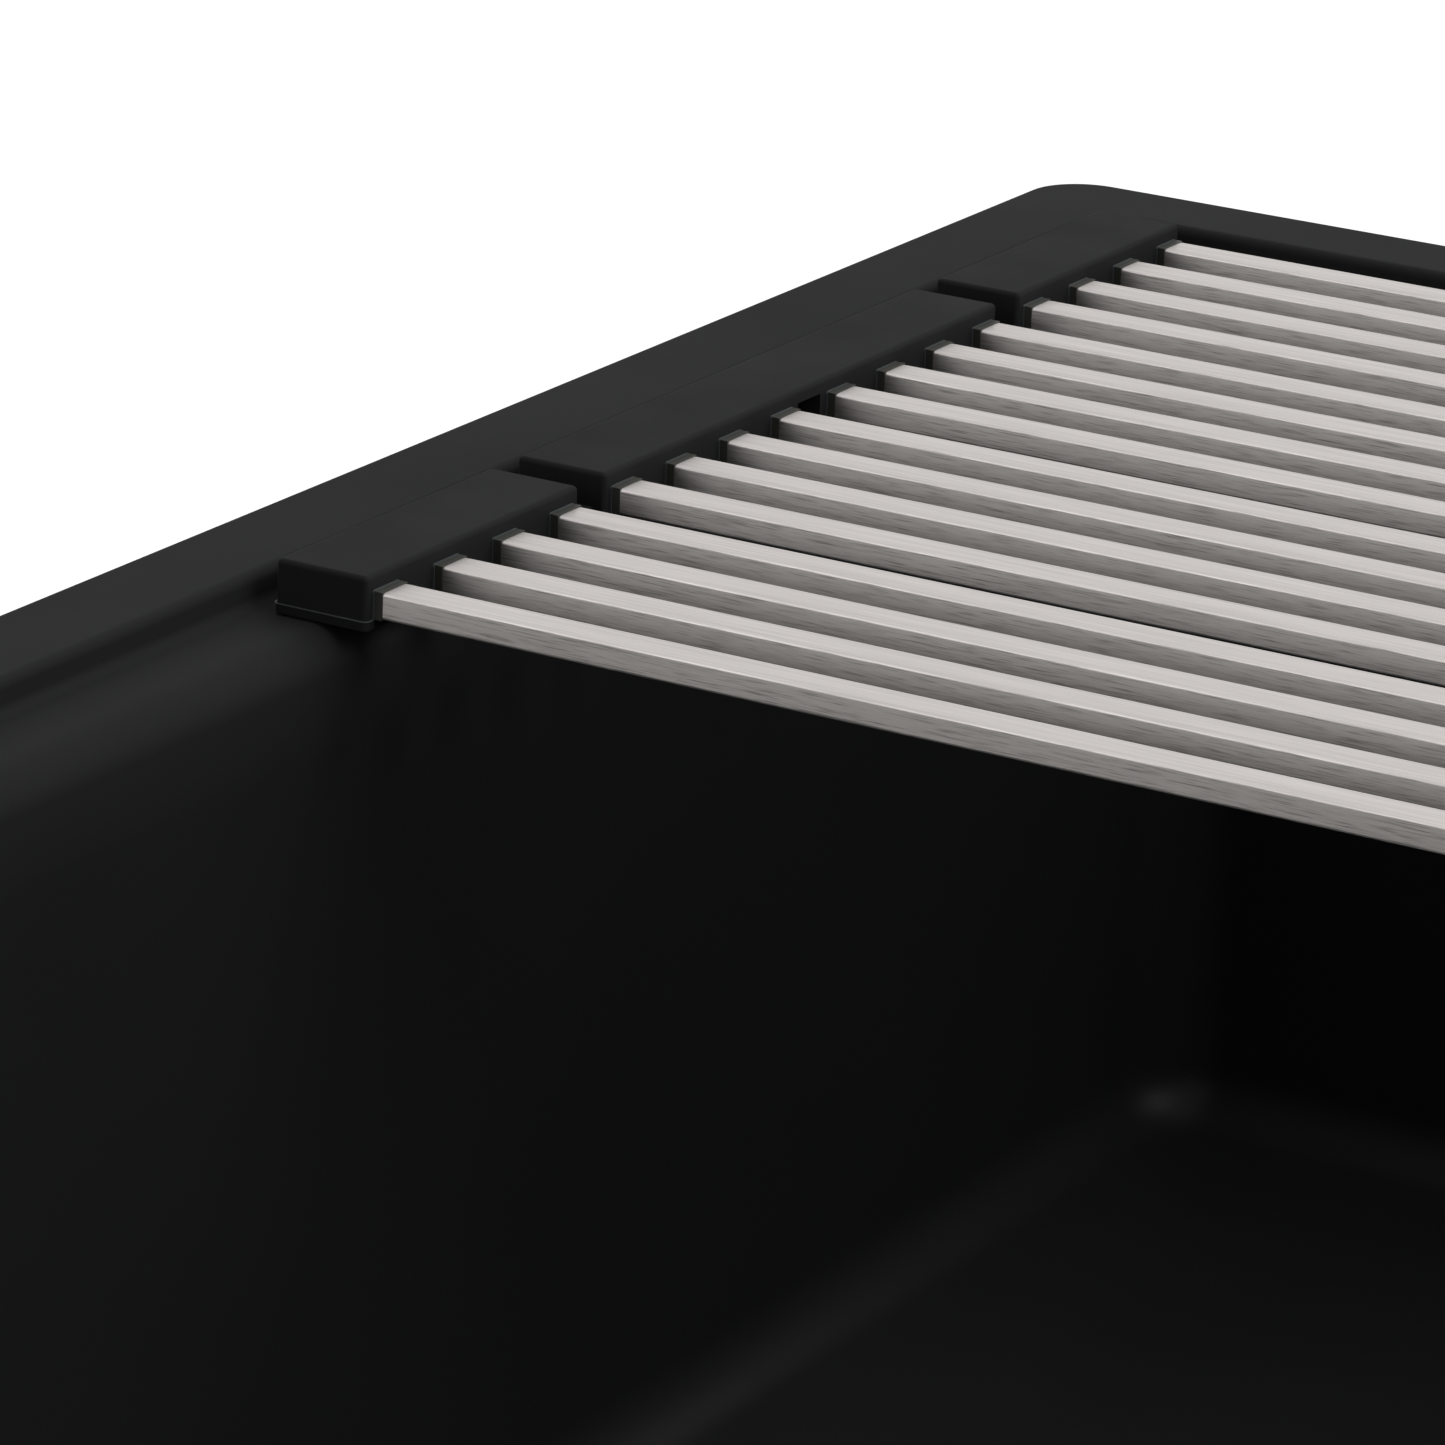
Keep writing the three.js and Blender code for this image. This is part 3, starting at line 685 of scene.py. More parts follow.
rim_low, rim_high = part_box("sink_bowl")
half_length = rim_high.x / MM
half_width = rim_high.y / MM
step_x = half_length - RIM_WIDTH
step_y = half_width - RIM_WIDTH
wall_y = step_y - LEDGE_WIDTH
lip_bottom = -STEP_DEPTH - LIP_RADIUS
fillet_top = -BOWL_DEPTH + FLOOR_FILLET
drain_floor = -BOWL_DEPTH - FLOOR_FALL
recess_floor = drain_floor - RECESS_DEPTH
gasket_seat = recess_floor - WALL


def end_wall_at(z):
    return step_x + z * tan(WALL_DRAFT)


def side_wall_at(z):
    return wall_y + (z - lip_bottom) * tan(WALL_DRAFT)


def rim_loops():
    """The rim's underside, outer edge and top. A loop is half length, half width, corner and height."""
    loops = [(step_x + WALL, step_y + WALL, STEP_CORNER + WALL, -RIM_THICKNESS)]
    inset = RIM_UNDERSIDE_BREAK
    loops.append((half_length - inset, half_width - inset, RIM_CORNER - inset, -RIM_THICKNESS))
    loops.append((half_length, half_width, RIM_CORNER, -RIM_THICKNESS + inset))
    loops.append((half_length, half_width, RIM_CORNER, -RIM_EDGE_ROUND))
    for rise, inwards in quarter(5):
        inset = RIM_EDGE_ROUND * inwards
        z = RIM_EDGE_ROUND * (rise - 1)
        loops.append((half_length - inset, half_width - inset, RIM_CORNER - inset, z))
    return loops


def step_loops():
    """The step inside the rim, and the crease at its foot."""
    loops = [(step_x + STEP_ROUND, step_y + STEP_ROUND, STEP_CORNER + STEP_ROUND, 0)]
    for inwards, drop in quarter(6):
        outset = STEP_ROUND * (1 - inwards)
        loops.append((step_x + outset, step_y + outset, STEP_CORNER + outset, -STEP_ROUND * drop))
    crease_top = -STEP_DEPTH + CREASE_ROUND
    loops.append((end_wall_at(crease_top), step_y, STEP_CORNER, crease_top))
    for drop, inwards in quarter(5):
        z = crease_top - CREASE_ROUND * drop
        half_x = end_wall_at(z) - LEDGE_END_INSET * inwards
        loops.append((half_x, step_y - CREASE_ROUND * inwards, STEP_CORNER, z))
    return loops


def wall_loops():
    """The ledge's lip, the walls and the fillet at their foot."""
    ledge_end = end_wall_at(-STEP_DEPTH) - LEDGE_END_INSET
    loops = [(ledge_end, wall_y + LIP_RADIUS, STEP_CORNER, -STEP_DEPTH)]
    for inwards, drop in quarter(10):
        z = -STEP_DEPTH - LIP_RADIUS * drop
        corner = STEP_CORNER + (BOWL_CORNER - STEP_CORNER) * inwards
        half_y = wall_y + LIP_RADIUS * (1 - inwards)
        loops.append((end_wall_at(z) - LEDGE_END_INSET, half_y, corner, z))
    half_x = end_wall_at(fillet_top)
    half_y = side_wall_at(fillet_top)
    loops.append((half_x, half_y, BOWL_CORNER, fillet_top))
    for drop, inwards in quarter(9):
        inset = FLOOR_FILLET * inwards
        z = fillet_top - FLOOR_FILLET * drop
        loops.append((half_x - inset, half_y - inset, BOWL_CORNER - inset, z))
    return loops


def drain_loops():
    """The drain's recess, its throat and the gasket's seat. A loop that is all corner is a circle."""
    rounds = [(RECESS_RADIUS + RECESS_ROUND, drain_floor)]
    for inwards, drop in quarter(4):
        rounds.append((RECESS_RADIUS + RECESS_ROUND * (1 - inwards), drain_floor - RECESS_ROUND * drop))
    rounds.append((RECESS_RADIUS, recess_floor))
    rounds.append((THROAT_RADIUS + THROAT_BREAK, recess_floor))
    rounds.append((THROAT_RADIUS, recess_floor - THROAT_BREAK))
    rounds.append((THROAT_RADIUS, gasket_seat))
    rounds.append((SEAT_RADIUS, gasket_seat))
    rounds.append((SEAT_RADIUS + SEAT_SLOPE, drain_floor - WALL))
    return [(radius, radius, radius, z) for radius, z in rounds]


def outside_loops():
    """The back of the bowl, up to the haunch under each ledge."""
    loops = []
    outer_fillet = FLOOR_FILLET + WALL
    for outwards, rise in [(0, 0), *quarter(7)]:
        outset = outer_fillet * outwards - FLOOR_FILLET
        z = fillet_top - outer_fillet * (1 - rise)
        half_x = end_wall_at(fillet_top) + outset
        half_y = side_wall_at(fillet_top) + outset
        loops.append((half_x, half_y, BOWL_CORNER + outset, z))
    haunch_top = -STEP_DEPTH - WALL
    haunch_foot = haunch_top - HAUNCH_HEIGHT
    foot_x = end_wall_at(haunch_foot) + WALL
    loops.append((foot_x, side_wall_at(haunch_foot) + WALL, BOWL_CORNER + WALL, haunch_foot))
    loops.append((end_wall_at(haunch_top) + WALL, step_y + WALL, STEP_CORNER + WALL, haunch_top))
    return loops


CORNER_SIDES = [(1, 1), (-1, 1), (-1, -1), (1, -1)]


def lay_first_loop(name, half_x, half_y, radius, z):
    """A loop of edges: a plane with its corners rounded and its face taken out, each corner in a group."""
    deselect_all()
    bpy.ops.mesh.primitive_plane_add(size=2 * MM)
    piece = bpy.context.object
    piece.name = name
    piece.data.name = name
    bpy.ops.object.mode_set(mode="EDIT")
    bpy.ops.transform.resize(value=(half_x, half_y, 1), center_override=(0, 0, 0))
    bpy.ops.transform.translate(value=(0, 0, z * MM))
    bpy.ops.mesh.bevel(offset=radius * MM, offset_type="OFFSET", segments=CORNER_STEPS, affect="VERTICES")
    bpy.ops.mesh.delete(type="ONLY_FACE")
    for side_x, side_y in CORNER_SIDES:
        pick(piece, "vertices", lambda vertex: vertex.co.x * side_x > 0 and vertex.co.y * side_y > 0)
        bpy.ops.object.vertex_group_assign_new()
    bpy.ops.mesh.select_mode(type="EDGE")
    bpy.ops.mesh.select_all(action="SELECT")
    return piece


def loft(piece, loops):
    """Extrudes the piece's first loop through the rest. Each corner is moved and resized by itself."""
    for was, now in zip(loops, loops[1:]):
        bpy.ops.mesh.extrude_edges_move()
        bpy.ops.mesh.hide(unselected=True)
        growth = now[2] / was[2]
        for corner, (side_x, side_y) in enumerate(CORNER_SIDES):
            bpy.ops.mesh.select_all(action="DESELECT")
            piece.vertex_groups.active_index = corner
            bpy.ops.object.vertex_group_select()
            old = Vector((side_x * (was[0] - was[2]), side_y * (was[1] - was[2]), was[3])) * MM
            new = Vector((side_x * (now[0] - now[2]), side_y * (now[1] - now[2]), now[3])) * MM
            bpy.ops.transform.resize(value=(growth, growth, 1), center_override=old)
            bpy.ops.transform.translate(value=new - old)
        bpy.ops.mesh.select_all(action="SELECT")
    bpy.ops.mesh.reveal()
    bpy.ops.object.vertex_group_remove(all=True)


def on_the_back(face):
    """True for the faces outside the bowl and under the rim."""
    if face.center.z > (0.01 - RIM_THICKNESS) * MM:
        return False
    outwards = face.center.to_2d().dot(face.normal.to_2d())
    return face.normal.z < -0.2 or outwards > 0


def make_bowl(face_finish, back_finish):
    loops = [*rim_loops(), *step_loops(), *wall_loops(), *drain_loops(), *outside_loops()]
    piece = lay_first_loop("bowl", *loops[0])
    loft(piece, [*loops, loops[0]])
    bpy.ops.mesh.select_all(action="SELECT")
    bpy.ops.mesh.remove_doubles(threshold=WELD * MM)
    bpy.ops.mesh.normals_make_consistent(inside=False)
    leave_edit_mode()
    paint(piece, face_finish, back_finish)
    for face in piece.data.polygons:
        face.material_index = 1 if on_the_back(face) else 0
    shade(piece, 40)
    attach(piece, "bowl_and_drain")
    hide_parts("sink_bowl")


# ---------------------------------------------------------------- rack


def make_bar(finish):
    """One tube, on the first bar's place. Its wide faces fall away from a fine drawn line near each edge."""
    low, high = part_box("bar_a1")
    bar = new_box("tube", low, high)
    middle = (low + high) / 2
    half = (high.x - low.x) / 2
    crown = half - BAR_CROWN_WIDTH * MM
    line = crown - BAR_LINE_WIDTH / 2 * MM
    for reach in (crown, line, crown - BAR_LINE_WIDTH * MM):
        slice_at(bar, middle.x + reach)
        slice_at(bar, middle.x - reach)
    for reach, drop in ((half, BAR_CROWN_DROP), (line, BAR_LINE_DEPTH)):
        for side in (1, -1):
            pick(bar, "vertices", lambda vertex: (
                abs(abs(vertex.co.x - middle.x) - reach) < 1e-6 and (vertex.co.z - middle.z) * side > 0))
            bpy.ops.transform.translate(value=(0, 0, -side * drop * MM))
            leave_edit_mode()
    round_edges(bar, lambda edge: (
        runs_along(bar, edge, 1) and abs(edge_ends(bar, edge)[0].x - middle.x) > half - 1e-6), BAR_ROUND, 4)
    wall = Vector((BAR_WALL, -1, BAR_WALL)) * MM
    bore = new_box("bore", low + wall, high - wall)
    combine(bar, bore, "DIFFERENCE")
    paint(bar, finish)
    shade(bar, 40)
    return bar


def make_bars(finish):
    first = make_bar(finish)
    first_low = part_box("bar_a1")[0]
    for letter in "abcd":
        for number in range(1, 5):
            node = f"bar_{letter}{number}"
            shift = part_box(node)[0] - first_low
            bar = copied(first, f"tube_{letter}{number}", shift)
            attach(bar, f"panel_{letter}")
            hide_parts(node)
    bpy.data.objects.remove(first)


def strip_section():
    """Where the rack's end strip lies on the back ledge: its side towards the bars, and its outer side."""
    low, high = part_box("end_block_a_back")
    return low.y + COLLAR_LENGTH * MM, high.y


def strip_box(name, left, right, bottom, top, inset, square_left, square_right):
    """A length of the strip, drawn in on its sides and on the ends that aren't square."""
    bar_side, outer_side = strip_section()
    run_left = 0 if square_left else inset
    run_right = 0 if square_right else inset
    return new_box(name, (left + run_left, bar_side + inset, bottom),
                   (right - run_right, outer_side - inset, top))


def loose_edge(piece, left, right, square_left, square_right):
    """A test that leaves out the edges round a square end, where the strip runs on into another piece."""
    def test(edge):
        ends = edge_ends(piece, edge)
        at_left = square_left and all(end.x < left + 1e-6 for end in ends)
        at_right = square_right and all(end.x > right - 1e-6 for end in ends)
        return not at_left and not at_right
    return test


def strip(name, left, right, bottom, top, square_left=False, square_right=False):
    """A length of the end strip above its base, with one rounding over its upright and upper edges."""
    body = strip_box(name, left, right, bottom, top, BASE_PROUD * MM, square_left, square_right)
    loose = loose_edge(body, left, right, square_left, square_right)

    def rounded(edge):
        on_top = all(end.z > top - 1e-6 for end in edge_ends(body, edge))
        return loose(edge) and (on_top or runs_along(body, edge, 2))

    round_edges(body, rounded, BLOCK_ROUND, 6)
    return body


def strip_base(left, right, bottom, square_left, square_right):
    """The moulded base under a strip, a little proud of it."""
    base = strip_box("base", left, right, bottom, bottom + BASE_HEIGHT * MM, 0, square_left, square_right)
    loose = loose_edge(base, left, right, square_left, square_right)
    round_edges(base, lambda edge: loose(edge) and runs_along(base, edge, 2), BLOCK_ROUND, 6)
    round_edges(base, lambda edge: all(end.z < bottom + 1e-6 for end in edge_ends(base, edge)),
                BLOCK_EDGE_BREAK, 2)
    return base


def strip_fin(left, right, bottom, square_left, square_right):
    """The thin fin that the mould left round the top of the base."""
    top = bottom + BASE_HEIGHT * MM
    fin = strip_box("fin", left, right, top - FIN_THICKNESS * MM, top, -FIN_PROUD * MM,
                    square_left, square_right)
    loose = loose_edge(fin, left, right, square_left, square_right)
    round_edges(fin, lambda edge: loose(edge) and runs_along(fin, edge, 2), BLOCK_ROUND + FIN_PROUD, 6)
    return fin


def make_collar(bar_low, bar_high, low_y, bar_side, finish, flash_glint):
    """The collar round one bar where it enters the strip, with a thin ring at its root that the mould left,
    whose pale colour is a painted highlight.
    """
    around = (SOCKET_PLAY + COLLAR_WALL) * MM
    collar = new_box("collar", (bar_low.x - around, low_y, bar_low.z - around),
                     (bar_high.x + around, bar_side + COLLAR_LENGTH * MM, bar_high.z + around))
    round_edges(collar, lambda edge: True, COLLAR_ROUND, 2)
    paint(collar, finish)
    around += RING_PROUD * MM
    ring = new_box("ring", (bar_low.x - around, bar_side - RING_THICKNESS * MM, bar_low.z - around),
                   (bar_high.x + around, bar_side + COLLAR_LENGTH * MM, bar_high.z + around))
    round_edges(ring, lambda edge: runs_along(ring, edge, 1), BAR_ROUND, 3)
    # The ring is painted in the pale material: a painted highlight along its edges.
    paint(ring, flash_glint)
    combine(collar, ring, "UNION")
    return collar


def make_block(letter, finish, collar_finish, flash_glint):
    """A panel's block on the back ledge, with a collar and a socket for each of its bars."""
    node = f"end_block_{letter}_back"
    low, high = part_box(node)
    square_left = letter == "c"
    square_right = letter == "b"
    ends = (square_left, square_right)
    foot = low.z + (BASE_HEIGHT - FIN_THICKNESS) * MM
    block = strip(f"block_{letter}_back", low.x, high.x, foot, high.z, *ends)
    paint(block, finish)
    base = strip_base(low.x, high.x, low.z, *ends)
    paint(base, finish)
    combine(block, base, "UNION")
    fin = strip_fin(low.x, high.x, low.z, *ends)
    # The fin is painted in the pale material: a painted highlight along the top of the base.
    paint(fin, flash_glint)
    combine(block, fin, "UNION")
    bar_side = strip_section()[0]
    play = SOCKET_PLAY * MM
    for number in range(1, 5):
        bar_low, bar_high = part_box(f"bar_{letter}{number}")
        combine(block, make_collar(bar_low, bar_high, low.y, bar_side, collar_finish, flash_glint), "UNION")
        socket = new_box("socket", (bar_low.x - play, low.y - 2 * MM, bar_low.z - play),
                         (bar_high.x + play, high.y - SOCKET_BOTTOM * MM, bar_high.z + play))
        round_edges(socket, lambda edge: runs_along(socket, edge, 1), BAR_ROUND, 5)
        paint(socket, finish)
        combine(block, socket, "DIFFERENCE")
    shade(block, 40)
    return block


def add_side_pair(back, name, node, body):
    """Sets the back piece on its body, and a mirrored copy of it on the front ledge."""
    front = copied(back, f"{name}_front", mirror=1)
    for piece, side in ((back, "back"), (front, "front")):
        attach(piece, body)
        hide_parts(f"{node}_{side}")


def make_blocks(finish, collar_finish, flash_glint):
    for letter in "abcd":
        block = make_block(letter, finish, collar_finish, flash_glint)
        add_side_pair(block, f"block_{letter}", f"end_block_{letter}", f"panel_{letter}")


def make_low_web(left_letter, right_letter, finish):
    """The web low in an outer fold, out of sight between the blocks. It bends between its two panels."""
    pair = left_letter + right_letter
    low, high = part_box(f"fold_web_{pair}_back")
    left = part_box(f"end_block_{left_letter}_back")[1].x - BLOCK_ROUND * MM
    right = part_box(f"end_block_{right_letter}_back")[0].x + BLOCK_ROUND * MM
    web = new_box(f"web_{pair}_back", (left, low.y + LOW_WEB_INSET * MM, low.z),
                  (right, high.y, high.z - LOW_WEB_DROP * MM))
    round_edges(web, lambda edge: runs_along(web, edge, 0), BLOCK_EDGE_BREAK, 3)
    for step in range(1, LOW_WEB_STEPS):
        slice_at(web, left + (right - left) * step / LOW_WEB_STEPS)
    shade(web, 40)
    paint(web, finish)
    front = copied(web, f"web_{pair}_front", mirror=1)
    for piece, side in ((web, "back"), (front, "front")):
        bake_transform(piece, f"panel_{left_letter}", f"panel_{right_letter}",
                 (left, 0, low.z), (right, 0, low.z))
        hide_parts(f"fold_web_{pair}_{side}")


def make_top_web(finish):
    """The web high in the middle fold, in one line with the tops of its blocks."""
    low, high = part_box("fold_web_bc_back")
    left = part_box("end_block_b_back")[1].x
    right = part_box("end_block_c_back")[0].x
    web = strip("web_bc_back", left, right, low.z, high.z, square_left=True, square_right=True)
    shade(web, 40)
    paint(web, finish)
    add_side_pair(web, "web_bc", "fold_web_bc", "rack_middle")


# ---------------------------------------------------------------- drain


def place_piece(piece, finish, node, body):
    """Finishes a piece, and sets it on its body in the place of its node."""
    paint(piece, finish)
    shade(piece)
    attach(piece, body)
    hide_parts(node)


def arc(centre, radius, start, end, steps=6):
    """Points of an arc between two angles in degrees. 0 points outwards and 90 points up."""
    turns = [radians(start + (end - start) * index / steps) for index in range(steps + 1)]
    return [(centre[0] + radius * cos(turn), centre[1] + radius * sin(turn)) for turn in turns]


def thread(radius, top, bottom, depth):
    """The grooves of a thread down a wall, drawn as rings. Each slopes in, and out again before the next."""
    points = []
    for index in range(int((top - bottom) / THREAD_PITCH)):
        z = top - index * THREAD_PITCH
        for share, cut in ((0, 0), (0.4, depth), (0.5, depth), (0.9, 0)):
            points.append((radius - cut, z - share * THREAD_PITCH))
    return points


def soft_ring(name, inner, outer, bottom, top, round_radius):
    """A flat ring with its four edges rounded."""
    outline = []
    low, high = bottom + round_radius, top - round_radius
    near, far = inner + round_radius, outer - round_radius
    for index, centre in enumerate([(far, high), (near, high), (near, low), (far, low)]):
        outline += arc(centre, round_radius, index * 90, index * 90 + 90, 4)
    return turned(name, outline)


def make_strainer_body(finish):
    """The strainer: a dished flange, a threaded cup and outlet, and the cross in the outlet."""
    outer = STRAINER_RADIUS
    turn = STRAINER_ROUND
    edge = FLANGE_EDGE
    outline = [
        (FLANGE_RADIUS - edge, FLANGE_UNDERSIDE),
        *arc((outer + turn, FLANGE_UNDERSIDE - turn), turn, 90, 180),
        *thread(outer, FLANGE_UNDERSIDE - 2 * turn, STRAINER_UNDERSIDE + 2 * turn, THREAD_DEPTH),
        *arc((outer - turn, STRAINER_UNDERSIDE + turn), turn, 0, -90),
        (OUTLET_RADIUS + STRAINER_WALL, STRAINER_UNDERSIDE),
        (OUTLET_RADIUS, STRAINER_UNDERSIDE - STRAINER_WALL),
        *thread(OUTLET_RADIUS, STRAINER_UNDERSIDE - 2 * STRAINER_WALL, OUTLET_END + 2 * edge, THREAD_DEPTH),
        (OUTLET_RADIUS, OUTLET_END + edge),
        (OUTLET_RADIUS - edge, OUTLET_END),
        (OUTLET_BORE + edge, OUTLET_END),
        (OUTLET_BORE, OUTLET_END + edge),
        (OUTLET_BORE, STRAINER_FLOOR),
        *arc((STRAINER_BORE - turn, STRAINER_FLOOR + turn), turn, -90, 0),
        *arc((STRAINER_BORE + MOUTH_ROUND, FLANGE_TOP - MOUTH_DISH - MOUTH_ROUND), MOUTH_ROUND, 180, 100),
        (FLANGE_RADIUS - 7, FLANGE_TOP - 0.3 * MOUTH_DISH),
        (FLANGE_RADIUS - turn, FLANGE_TOP),
        *arc((FLANGE_RADIUS - FLANGE_ROLL, FLANGE_TOP - 0.05 - FLANGE_ROLL), FLANGE_ROLL, 80, -40),
    ]
    piece = turned("flanged_cup", outline)
    paint(piece, finish)
    reach = OUTLET_BORE + STRAINER_WALL
    for size in ((reach, SPOKE_HALF_WIDTH), (SPOKE_HALF_WIDTH, reach)):
        spoke = new_box("spoke", Vector((-size[0], -size[1], STRAINER_FLOOR - SPOKE_HEIGHT)) * MM,
                        Vector((size[0], size[1], STRAINER_FLOOR)) * MM)
        round_edges(spoke, lambda edge: (
            all(end.z > (STRAINER_FLOOR - WELD) * MM for end in edge_ends(spoke, edge))), SPOKE_BREAK, 3)
        paint(spoke, finish)
        combine(piece, spoke, "UNION")
    place_piece(piece, finish, "strainer_body", "bowl_and_drain")


def make_lock_nut(finish):
    """The large ring nut: a threaded ring whose side is drawn out into lugs for a spanner."""
    edge = NUT_CHAMFER
    outline = [(NUT_BORE + edge, LOCK_NUT_TOP), (LOCK_NUT_RADIUS - edge, LOCK_NUT_TOP),
               (LOCK_NUT_RADIUS, LOCK_NUT_TOP - edge), (LOCK_NUT_RADIUS, LOCK_NUT_BOTTOM + edge),
               (LOCK_NUT_RADIUS - edge, LOCK_NUT_BOTTOM), (NUT_BORE + edge, LOCK_NUT_BOTTOM),
               (NUT_BORE, LOCK_NUT_BOTTOM + edge)]
    outline += reversed(thread(NUT_BORE, LOCK_NUT_TOP - edge, LOCK_NUT_BOTTOM + edge, -THREAD_DEPTH))
    piece = turned("ring_nut", outline)
    turn = 360 / LUG_COUNT

    def on_lug(face, radius):
        heading = degrees(atan2(face.center.y, face.center.x)) % turn
        reach = face.center.to_2d().length
        return abs(face.normal.z) < 0.1 and reach > (radius - 0.5) * MM and heading < LUG_TURN

    pick(piece, "polygons", lambda face: on_lug(face, LOCK_NUT_RADIUS))
    growth = LUG_RADIUS / LOCK_NUT_RADIUS
    bpy.ops.mesh.extrude_region_move()
    bpy.ops.transform.resize(value=(growth, growth, 1), center_override=(0, 0, 0))
    leave_edit_mode()
    pick(piece, "polygons", lambda face: on_lug(face, LUG_RADIUS))
    bpy.ops.mesh.region_to_loop()
    bpy.ops.mesh.bevel(offset=LUG_BREAK * MM, offset_type="OFFSET", segments=3, affect="EDGES")
    leave_edit_mode()
    place_piece(piece, finish, "lock_nut", "bowl_and_drain")


def make_coupling_nut(finish):
    """The nut for the tail pipe: eight flats, turned chamfers, a threaded sleeve and a lip at its foot."""
    deselect_all()
    height = (COUPLING_TOP - COUPLING_BOTTOM) * MM
    bpy.ops.mesh.primitive_cylinder_add(
        vertices=COUPLING_FLATS, radius=COUPLING_APOTHEM * MM / cos(pi / COUPLING_FLATS), depth=height,
        location=(0, 0, (COUPLING_TOP + COUPLING_BOTTOM) / 2 * MM), rotation=(0, 0, pi / COUPLING_FLATS))
    bpy.ops.object.transform_apply(location=True, rotation=True, scale=True)
    piece = bpy.context.object
    piece.name = "tail_nut"
    piece.data.name = "tail_nut"
    paint(piece, finish)
    face_radius = COUPLING_APOTHEM - COUPLING_FACE_INSET
    slope = COUPLING_SLOPE
    outside = turned("outside", [
        (0, COUPLING_BOTTOM), (face_radius, COUPLING_BOTTOM), (COUPLING_CORNER, COUPLING_BOTTOM + slope),
        (COUPLING_CORNER, COUPLING_TOP - slope), (face_radius, COUPLING_TOP), (0, COUPLING_TOP)])
    paint(outside, finish)
    combine(piece, outside, "INTERSECT")
    edge = NUT_CHAMFER
    past = CUT_PAST
    bore = turned("bore", [
        (0, COUPLING_TOP + past), (COUPLING_BORE + edge + past, COUPLING_TOP + past),
        *thread(COUPLING_BORE, COUPLING_TOP - edge, COUPLING_LIP_TOP + 2, -THREAD_DEPTH),
        (COUPLING_BORE, COUPLING_LIP_TOP), (COUPLING_LIP_BORE, COUPLING_LIP_TOP),
        (COUPLING_LIP_BORE, COUPLING_BOTTOM + edge),
        (COUPLING_LIP_BORE + edge + past, COUPLING_BOTTOM - past),
        (0, COUPLING_BOTTOM - past)])
    paint(bore, finish)
    combine(piece, bore, "DIFFERENCE")
    place_piece(piece, finish, "coupling_nut", "bowl_and_drain")


def make_basket(finish):
    """The lift-out basket: a pressed cup with a rolled rim and rings of holes in its floor."""
    side_lean = (BASKET_UPPER - BASKET_LOWER) / 2
    half_way = (BASKET_TOP + BASKET_BOTTOM) / 2
    floor_z = BASKET_BOTTOM + BASKET_WALL
    inner = BASKET_LOWER - BASKET_WALL
    turn = BASKET_ROUND
    outline = [
        (BASKET_BORE, BASKET_BOTTOM),
        *arc((BASKET_LOWER - turn, BASKET_BOTTOM + turn), turn, -90, 0),
        (BASKET_LOWER + side_lean, half_way),
        (BASKET_UPPER, BASKET_TOP - 2.4),
        *arc((BASKET_RIM - BASKET_RIM_ROUND, BASKET_TOP - BASKET_RIM_ROUND), BASKET_RIM_ROUND, -50, 150, 8),
        (BASKET_UPPER - BASKET_WALL, BASKET_TOP - 2.2),
        (inner + side_lean, half_way),
        *arc((inner - turn, floor_z + turn), turn, 0, -90),
        (BASKET_BORE, floor_z),
    ]
    piece = turned("hole_basket", outline)
    paint(piece, finish)
    for count, radius in BASKET_HOLE_RINGS:
        for hole in range(count):
            heading = (hole + 0.5) / count * 2 * pi
            place = Vector((radius * cos(heading), radius * sin(heading), BASKET_BOTTOM + BASKET_WALL / 2))
            deselect_all()
            bpy.ops.mesh.primitive_cylinder_add(
                vertices=DRILL_STEPS, radius=BASKET_HOLE * MM, depth=4 * BASKET_WALL * MM,
                location=place * MM, rotation=(0, 0, DRILL_TURN))
            bpy.ops.object.transform_apply(location=True, rotation=True)
            drill = bpy.context.object
            paint(drill, finish)
            combine(piece, drill, "DIFFERENCE")
    place_piece(piece, finish, "strainer_basket", "basket")


def make_stopper(finish):
    """The rubber stopper under the basket, with a rounded sealing lip."""
    edge = STOPPER_EDGE
    lip = STOPPER_LIP
    outline = [
        (BASKET_BORE, STOPPER_BOTTOM + edge),
        (BASKET_BORE + edge, STOPPER_BOTTOM),
        (STOPPER_RADIUS - 5 * lip, STOPPER_BOTTOM),
        (STOPPER_RADIUS - 3, STOPPER_BOTTOM + lip / 2),
        *arc((STOPPER_RADIUS - lip, STOPPER_BOTTOM + lip), lip, -110, 110, 8),
        (STOPPER_RADIUS - 5, STOPPER_TOP),
        (BASKET_BORE + edge, STOPPER_TOP),
        (BASKET_BORE, STOPPER_TOP - edge),
    ]
    place_piece(turned("rubber_stopper", outline), finish, "stopper_seal", "basket")


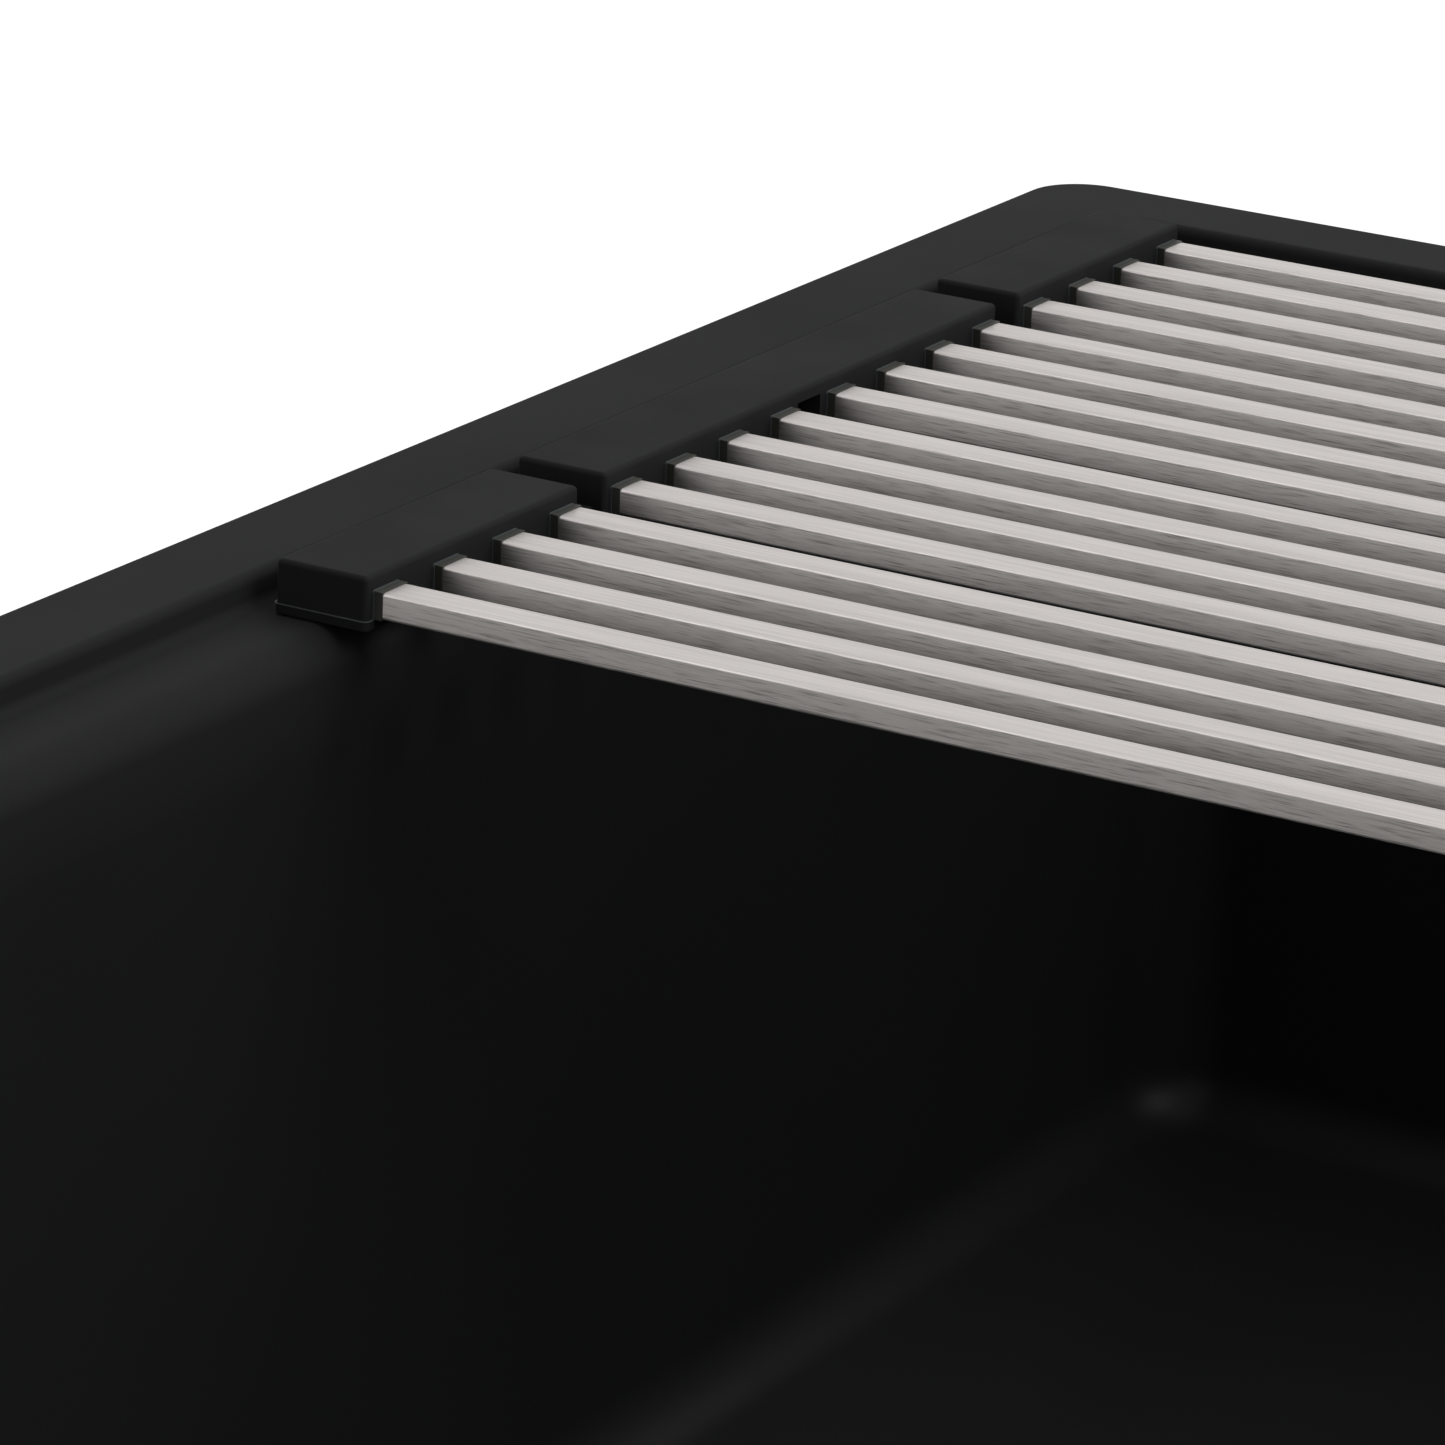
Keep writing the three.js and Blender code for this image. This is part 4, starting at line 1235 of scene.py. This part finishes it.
def make_post(finish):
    """The basket's post, with the knob that it is lifted by."""
    dome = [index / KNOB_STEPS * pi / 2 for index in range(KNOB_STEPS)]
    dome_height = KNOB_TOP - KNOB_SHOULDER
    outline = [
        (0, POST_BOTTOM),
        (POST_RADIUS - POST_EDGE, POST_BOTTOM),
        (POST_RADIUS, POST_BOTTOM + POST_EDGE),
        *arc((POST_RADIUS + KNOB_FOOT_ROUND, KNOB_FOOT), KNOB_FOOT_ROUND, 180, 90, 5),
        (6.6, KNOB_FOOT + 1.9),
        (8.0, KNOB_FOOT + 3.1),
        (8.75, KNOB_FOOT + 4.3),
        *[(KNOB_RADIUS * cos(turn), KNOB_SHOULDER + dome_height * sin(turn)) for turn in dome],
        (0, KNOB_TOP),
    ]
    place_piece(turned("knob_post", outline), finish, "basket_post", "basket")


def make_seals(rubber, fibre):
    """The rings that make the joints tight: node, radii, heights, rounding, finish and slot."""
    rows = [
        ("flange_seal", 48.2, 56.6, -233.7, -232.2, 0.5, rubber, "black_rubber"),
        ("rubber_gasket", 45.2, 63.2, -247.3, -244.3, 0.8, rubber, "black_rubber"),
        ("fibre_washer", 45.2, 59.2, -248.6, -247.6, 0.15, fibre, "fibre"),
        ("tail_washer", 19.3, 24.4, -300.3, -298.3, 0.6, rubber, "black_rubber"),
    ]
    for node, inner, outer, bottom, top, round_radius, finish, slot in rows:
        ring = soft_ring(f"{node}_ring", inner, outer, bottom, top, round_radius)
        place_piece(ring, finish, node, "bowl_and_drain")


# ---------------------------------------------------------------- the whole scene

add_camera()
add_floor()
set_world(WORLD_LIGHT, WORLD_SHOWN)
for softbox in SOFTBOXES:
    add_softbox(*softbox)

silicone = block_silicone()
steel = drain_steel()
rubber = seal_rubber()
zinc = nut_zinc()

make_bowl(composite_face(), composite_back())
make_bars(brushed_bar_steel())
make_blocks(silicone, collar_silicone(), flash_painted_glint())
make_low_web("a", "b", silicone)
make_low_web("c", "d", silicone)
make_top_web(silicone)

make_strainer_body(steel)
make_seals(rubber, washer_fibre())
make_lock_nut(zinc)
make_coupling_nut(zinc)
make_basket(steel)
make_stopper(rubber)
make_post(steel)

deselect_all()
bpy.context.scene.view_settings.view_transform = "Standard"
